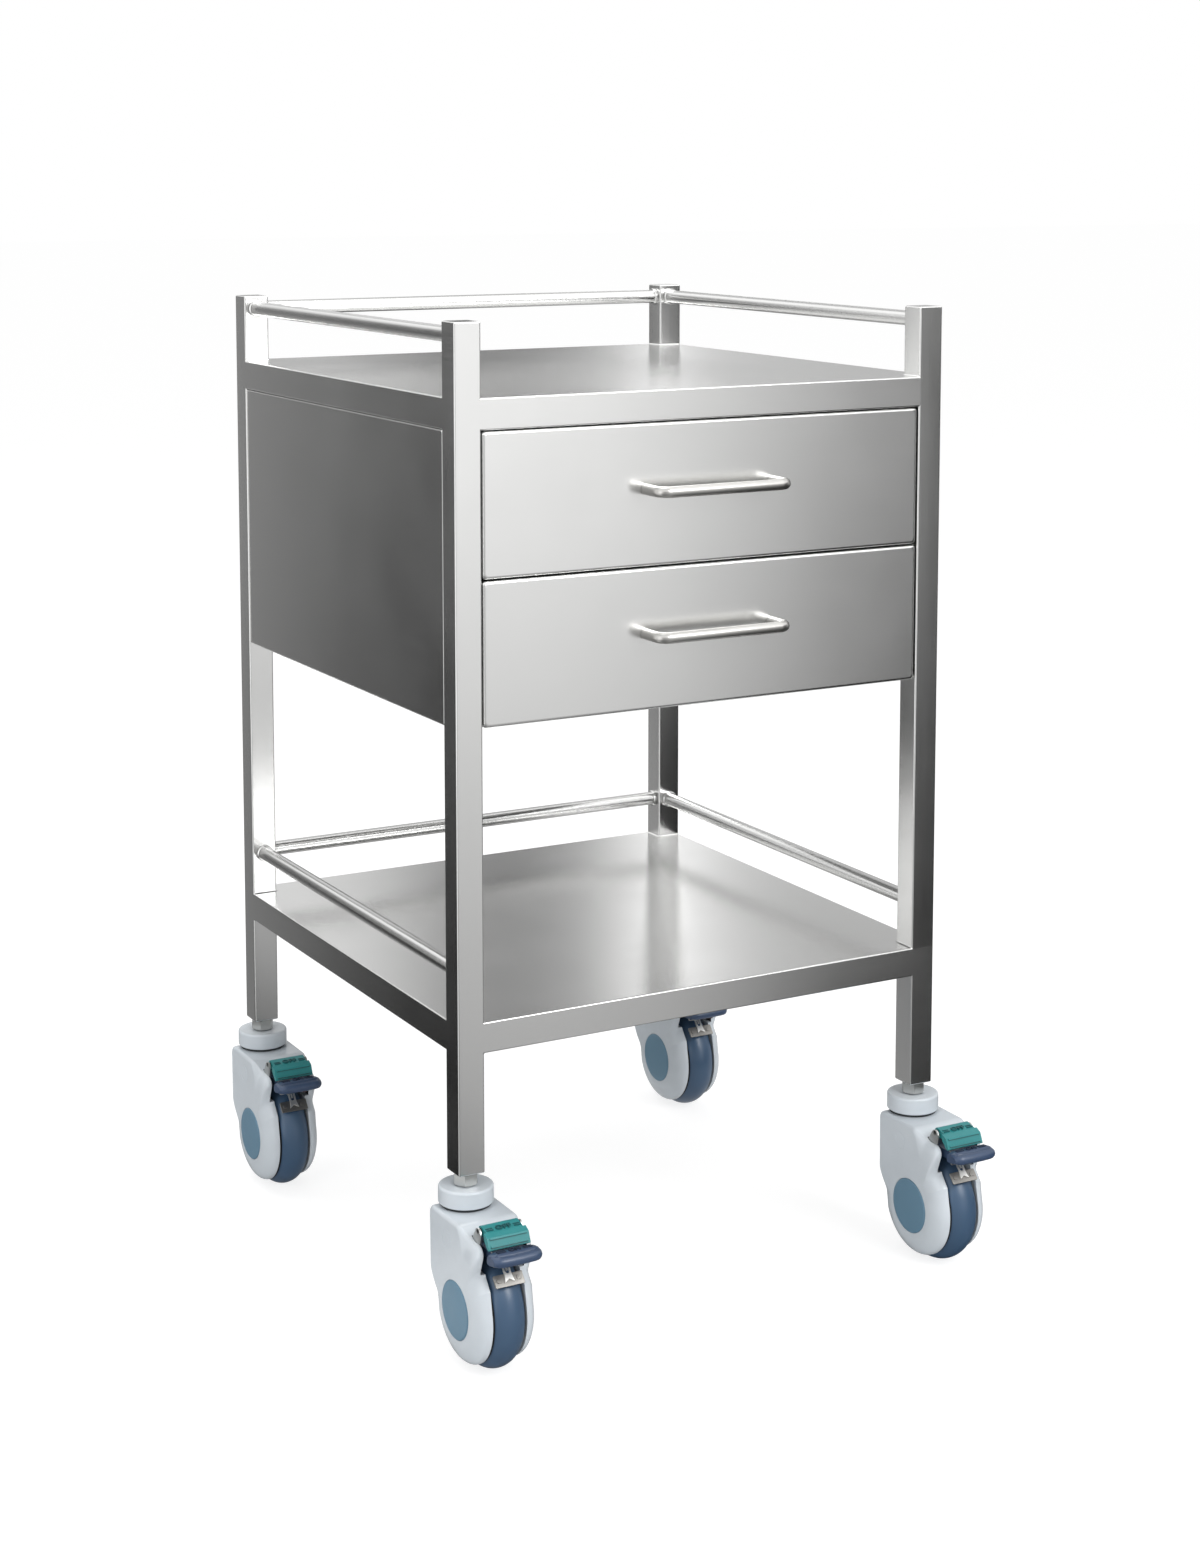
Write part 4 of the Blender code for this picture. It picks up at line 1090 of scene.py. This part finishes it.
# Painted shade: the pins are near-black, so that the holes where they are sunk look dark.
dark_steel = plated_steel("oiled_steel_pin", "#3A3B3C", 0.35, 0.5, 2)


def pins():
    bm = bmesh.new()
    profile = mm([(1.2, -19.6), (1.95, -19.4), (1.95, 19.4), (1.2, 19.6)])
    for pin in (OFF_PIN, ON_PIN):
        turned(profile, 20, "X", (0, *pin), bm=bm)
    return solid("brake_pins", bm, dark_steel)


copies(bracket(), "castor", "zinc_steel", ["bracket"])
copies(pins(), "castor", "zinc_steel")
print("bracket ears at", round(EAR / MM, 1), "mm each side")

# %% [markdown]
# ## The pedals
# A teal pedal above releases the brake and a navy one below sets it. Both carry raised
# lettering between short bars, so that a shoe feels them. The words are text objects made into
# meshes. The bars are copies of one small block on a handful of points, which is what Geometry
# Nodes are for.


# %% Lettering and bars
def bars_tree():
    """Small blocks of one size on every point of the input mesh."""
    tree, enter = open_tree("raised_bars", (("Points", "Geometry"), ("Size", "Vector"),
                                            ("Finish", "Material")), "Bars")
    points = add(tree, "GeometryNodeMeshToPoints", {"Mesh": enter["Points"]})
    block = add(tree, "GeometryNodeMeshCube", {"Size": enter["Size"]})
    spread = add(tree, "GeometryNodeInstanceOnPoints", {"Points": points.outputs[0],
                                                        "Instance": block.outputs[0]})
    return close_tree(tree, enter, spread, "Bars")


raised = bars_tree()


def raised_bars(name, points, size, finish, place):
    mesh = bpy.data.meshes.new(name)
    mesh.from_pydata(mm([(x, y, 0) for x, y in points]), [], [])
    made = grown(name, mesh, raised, size=mm(list(size)), finish=finish)
    made.data.transform(place)
    return made


def lettering(name, words, height, width, finish, place):
    """Raised letters of that height, squeezed or stretched to that width."""
    curve = bpy.data.curves.new(name, "FONT")
    curve.body = words
    curve.size, curve.extrude, curve.resolution_u = 1.0, 0.11, 3
    curve.align_x, curve.align_y = "CENTER", "CENTER"
    text = put(name, curve)
    mesh = as_mesh(text)
    bpy.data.objects.remove(text)
    xs, ys = [v.co.x for v in mesh.vertices], [v.co.y for v in mesh.vertices]
    middle_x, middle_y = (max(xs) + min(xs)) / 2, (max(ys) + min(ys)) / 2
    size = Matrix.Diagonal((width / (max(xs) - min(xs)), height / (max(ys) - min(ys)), 12 * MM, 1))
    mesh.transform(place @ size @ Matrix.Translation((-middle_x, -middle_y, 0)))
    mesh.materials.clear()
    mesh.materials.append(finish)
    return put(name, mesh)


def on_slope(y, z, fall):
    """A place on a surface that falls by so many degrees towards the front."""
    return Matrix.Translation((0, y * MM, z * MM)) @ Matrix.Rotation(math.radians(fall), 4, "X")


def joined(name, pieces):
    """Several pieces as one object with one mesh, each in its own finish."""
    bm = bmesh.new()
    looks = []
    for piece in pieces:
        look = [m for m in piece.data.materials if m][0]
        looks += [look] if look not in looks else []
        start = len(bm.faces)
        bm.from_mesh(piece.data)
        bm.faces.ensure_lookup_table()
        for face in bm.faces[start:]:
            face.material_index = looks.index(look)
        bpy.data.objects.remove(piece)
    bmesh.ops.remove_doubles(bm, verts=bm.verts, dist=0.001 * MM)
    return solid(name, bm, looks, sharp=30)


print("raised bars:", [s.name for s in raised.interface.items_tree if s.in_out == "INPUT"])

# %% [markdown]
# The release pedal has a flat tongue between the ears, a wider lip that drops steeply in front,
# and side walls under it. Two ribs run across the lip, each with a darker matt line at its foot:
# painted shade, for the crease there.


# %% Release pedal
def release_pedal():
    barrel = arc(KNUCKLE, range(-80, 101, 15), OFF_PIN)
    tongue = prism(barrel + mm([(-75, 134), (-75, 128.5)]), -17.4 * MM, 17.4 * MM)
    lip = mm([(-74.4, 134.3, 0.4), (-80.7, 131.6, 2), (-84.8, 122.3, 0.8), (-83, 121.4, 0.5),
              (-78.8, 129, 2), (-74.4, 130.8, 0)])
    wall = mm([(-74.4, 134, 0.4), (-80.5, 131.4, 2), (-84.6, 122.4, 0.8), (-81, 122, 0.5),
               (-74.6, 128.5, 1)])
    tools = [("UNION", prism(round_path(outline, 5), low * MM, high * MM)) for outline, low, high
             in ((lip, -19.7, 19.7), (wall, -19.7, -17.9), (wall, 17.9, 19.7))]
    tools.append(("DIFFERENCE", drill(2.3 * MM, 20, OFF_PIN)))
    body = cut("pedal", tongue, tools, teal_nylon, sharp=25, bevel=0.35 * MM)
    top = on_slope(-71.3, 135.25, 5)
    # Painted shade: the letters, the bars beside them and the lines at the foot of each rib take
    # the darker teal.
    words = lettering("words", "OFF", 5.2 * MM, 14.5 * MM, teal_painted_shade, top)
    bars = raised_bars("bars", [(x, y) for x in (-13, 13) for y in (-1.4, 1.2)], (6.2, 0.9, 1.2),
                       teal_painted_shade, top)
    lip_face = on_slope(-82.6, 127.2, 65.3)
    ribs = raised_bars("ribs", [(0, 4.2), (0, -2.4)], (35, 1.4, 2.6), teal_nylon, lip_face)
    feet = raised_bars("feet", [(0, 3.1), (0, -3.5)], (35, 0.8, 1.4), teal_painted_shade, lip_face)
    return joined("release_pedal", [body, words, bars, ribs, feet])


copies(release_pedal(), "release", "release_plastic", ["off_pedal"])

# %% [markdown]
# The brake pedal is a rounded tread, wider than the release pedal and curved in plan, with a
# long groove near its front edge. It is a row of sections across the pedal, and the groove is
# two points of each section that sink in the middle part.


# %% Brake pedal
def tread_section(x):
    share = abs(x) / 23
    back = 1.4 * share ** 2 + 4.2 * share ** 9
    sink = 2.2 * share ** 9
    groove = 1.8 * (1 - blend(abs(x), 17.0, 19.0))
    tip = -105 + back
    return [(-87.5, 121.6 - sink), (-88.2, 122.2 - sink), (-93, 122.9 - sink),
            (tip + 7.6, 122.5 - sink * 0.9), (tip + 7.2, 122.4 - sink * 0.9 - groove),
            (tip + 5.6, 122.2 - sink * 0.9 - groove), (tip + 5.2, 122.1 - sink * 0.9),
            (tip + 2.6, 121.2 - sink * 0.6), (tip + 0.9, 119.8 - sink * 0.4),
            (tip, 117.5 - sink * 0.1), (tip + 0.5, 115.2 + sink * 0.2),
            (tip + 1.8, 113.6 + sink * 0.4), (tip + 3.6, 113 + sink * 0.5),
            (-92, 112.2 + sink * 0.3), (-87, 112.6 + sink * 0.3),
            (-86.6, 116.5)]


def brake_pedal():
    spots = [-23, -22.6, -21.8, -20.8, -19.4, -17.6, -16.5, -15.5, -14.5]
    spots += [-10, -5, 0, 5, 10] + [-x for x in spots[::-1]]
    tread = skin([[mm((x, y, z)) for y, z in tread_section(x)] for x in spots])
    barrel = arc(KNUCKLE, range(-90, 91, 15), ON_PIN)
    arm = prism(barrel + mm([(-87, 118.7), (-91, 118.7), (-91, 113.2), (-78, 111)]), -15.5 * MM,
                15.5 * MM)
    tools = [("UNION", arm), ("DIFFERENCE", drill(2.3 * MM, 20, ON_PIN))]
    body = cut("pedal", tread, tools, navy_nylon, sharp=38)
    top = on_slope(-92.3, 123.1, -2)
    # Painted shade: the letters and the bars beside them take the darker navy.
    words = lettering("words", "ON", 5.0 * MM, 10.5 * MM, navy_painted_shade, top)
    bars = raised_bars("bars", [(x, y) for x in (-12.5, 12.5) for y in (-1.2, 1.3)], (8, 0.9, 1.2),
                       navy_painted_shade, top)
    return joined("brake_pedal", [body, words, bars])


copies(brake_pedal(), "brake", "brake_plastic", ["on_pedal"])

# %% [markdown]
# ## The brake shoe
# A dull stamped plate of darker steel hangs under the brake pedal, just off the tread, on a clip
# with two legs and a slot. Two studs stand out of the plate. Pressing the pedal swings it to the
# tyre. The clip's steel is a lighter tone, as painted light against the shade under the pedal.


# %% Brake shoe
def shoe_frame():
    """The shoe's own axes: across, up along the tread, and out from the wheel."""
    angle = math.radians(139.5)
    out = Vector((0, math.cos(angle), math.sin(angle)))
    up = Vector((0, math.sin(angle), -math.cos(angle)))
    turn = Matrix(((1, 0, 0), up, out)).transposed().to_4x4()
    return Matrix.Translation(HUB + out * (WHEEL + 4.4 * MM)) @ turn


def in_plane(outline, low, high):
    """An outline of (across, up) points in millimetres, pushed outwards."""
    return upright(mm(outline), low * MM, high * MM)


def brake_shoe():
    sheet = 1.4
    plate = in_plane(rounded_rect(27.8, 11, 1.2, 4), 0, sheet)
    pieces = [solid("plate", plate, plate_steel, sharp=30, bevel=0.3 * MM)]
    for x in (-9.4, 9.2):
        stud = in_plane([(x + u, 0.4 + v) for u, v in rounded_rect(4.6, 4, 1.4, 4)], sheet - 0.2,
                        sheet + 0.7)
        pieces.append(solid("stud", stud, plate_steel, sharp=30, bevel=0.25 * MM))
    legs = [(-3.6, 15), (-3.4, 4), (-4.6, -2.4), (0, 0.6), (4.6, -2.4), (3.4, 4), (3.6, 15)]
    slot = [(-1.7, 12.5), (-1.7, 6.6), (-1.2, 5.6), (0, 5.2), (1.2, 5.6), (1.7, 6.6), (1.7, 12.5)]
    pieces.append(cut("clip", in_plane(legs, sheet - 0.2, sheet + 1.1),
                      [("DIFFERENCE", in_plane(slot, 0, 5))], clip_steel, sharp=30, bevel=0.2 * MM))
    tongue = [(-0.8, 15), (-0.8, 7.6), (0.8, 7.6), (0.8, 15)]
    pieces.append(solid("tongue", in_plane(tongue, sheet, sheet + 1.2), clip_steel, bevel=0.2 * MM))
    shoe = joined("brake_shoe", pieces)
    shoe.data.transform(shoe_frame())
    return shoe


def stop_block():
    """The small brown rubber stop under the pedal, beside the clip."""
    block = box_shape(mm((6.4, -90.5, 107.6)), mm((10.6, -86.4, 113)))
    return solid("rubber_stop", block, brown_rubber, bevel=0.6 * MM)


def shoe_strip():
    """The thin strip at the left, seen on edge, that keeps the shoe from turning."""
    path = mm([(-17.2, -83.4, 120.6), (-15.6, -83.8, 118.5), (-15.6, -83.8, 107.2),
               (-8.5, -83.6, 107.0), (-6.6, -83.4, 105.0)])
    return bar("shoe_strip", path, 0.5 * MM, zinc_steel, 1.2 * MM)


copies(brake_shoe(), "brake", "zinc_steel", ["on_pedal"])
copies(shoe_strip(), "brake", "zinc_steel")
copies(stop_block(), "brake", "brake_plastic")

# %% [markdown]
# ## The pieces that stay as solids
# Inside the cabinet the drawer boxes and their runners are already the right shape, so they
# keep the solid model's meshes and only get their finish: ground sheet for the boxes, zinc
# plate for the runners.

# %% Finishes for the solids
for name, node in nodes.items():
    if node.hide_render:
        continue
    look = sheet_steel_y if "box" in name else zinc_steel
    node.data.materials.clear()
    node.data.materials.append(look)
print("solids still shown:", sorted(n for n, o in nodes.items() if not o.hide_render))
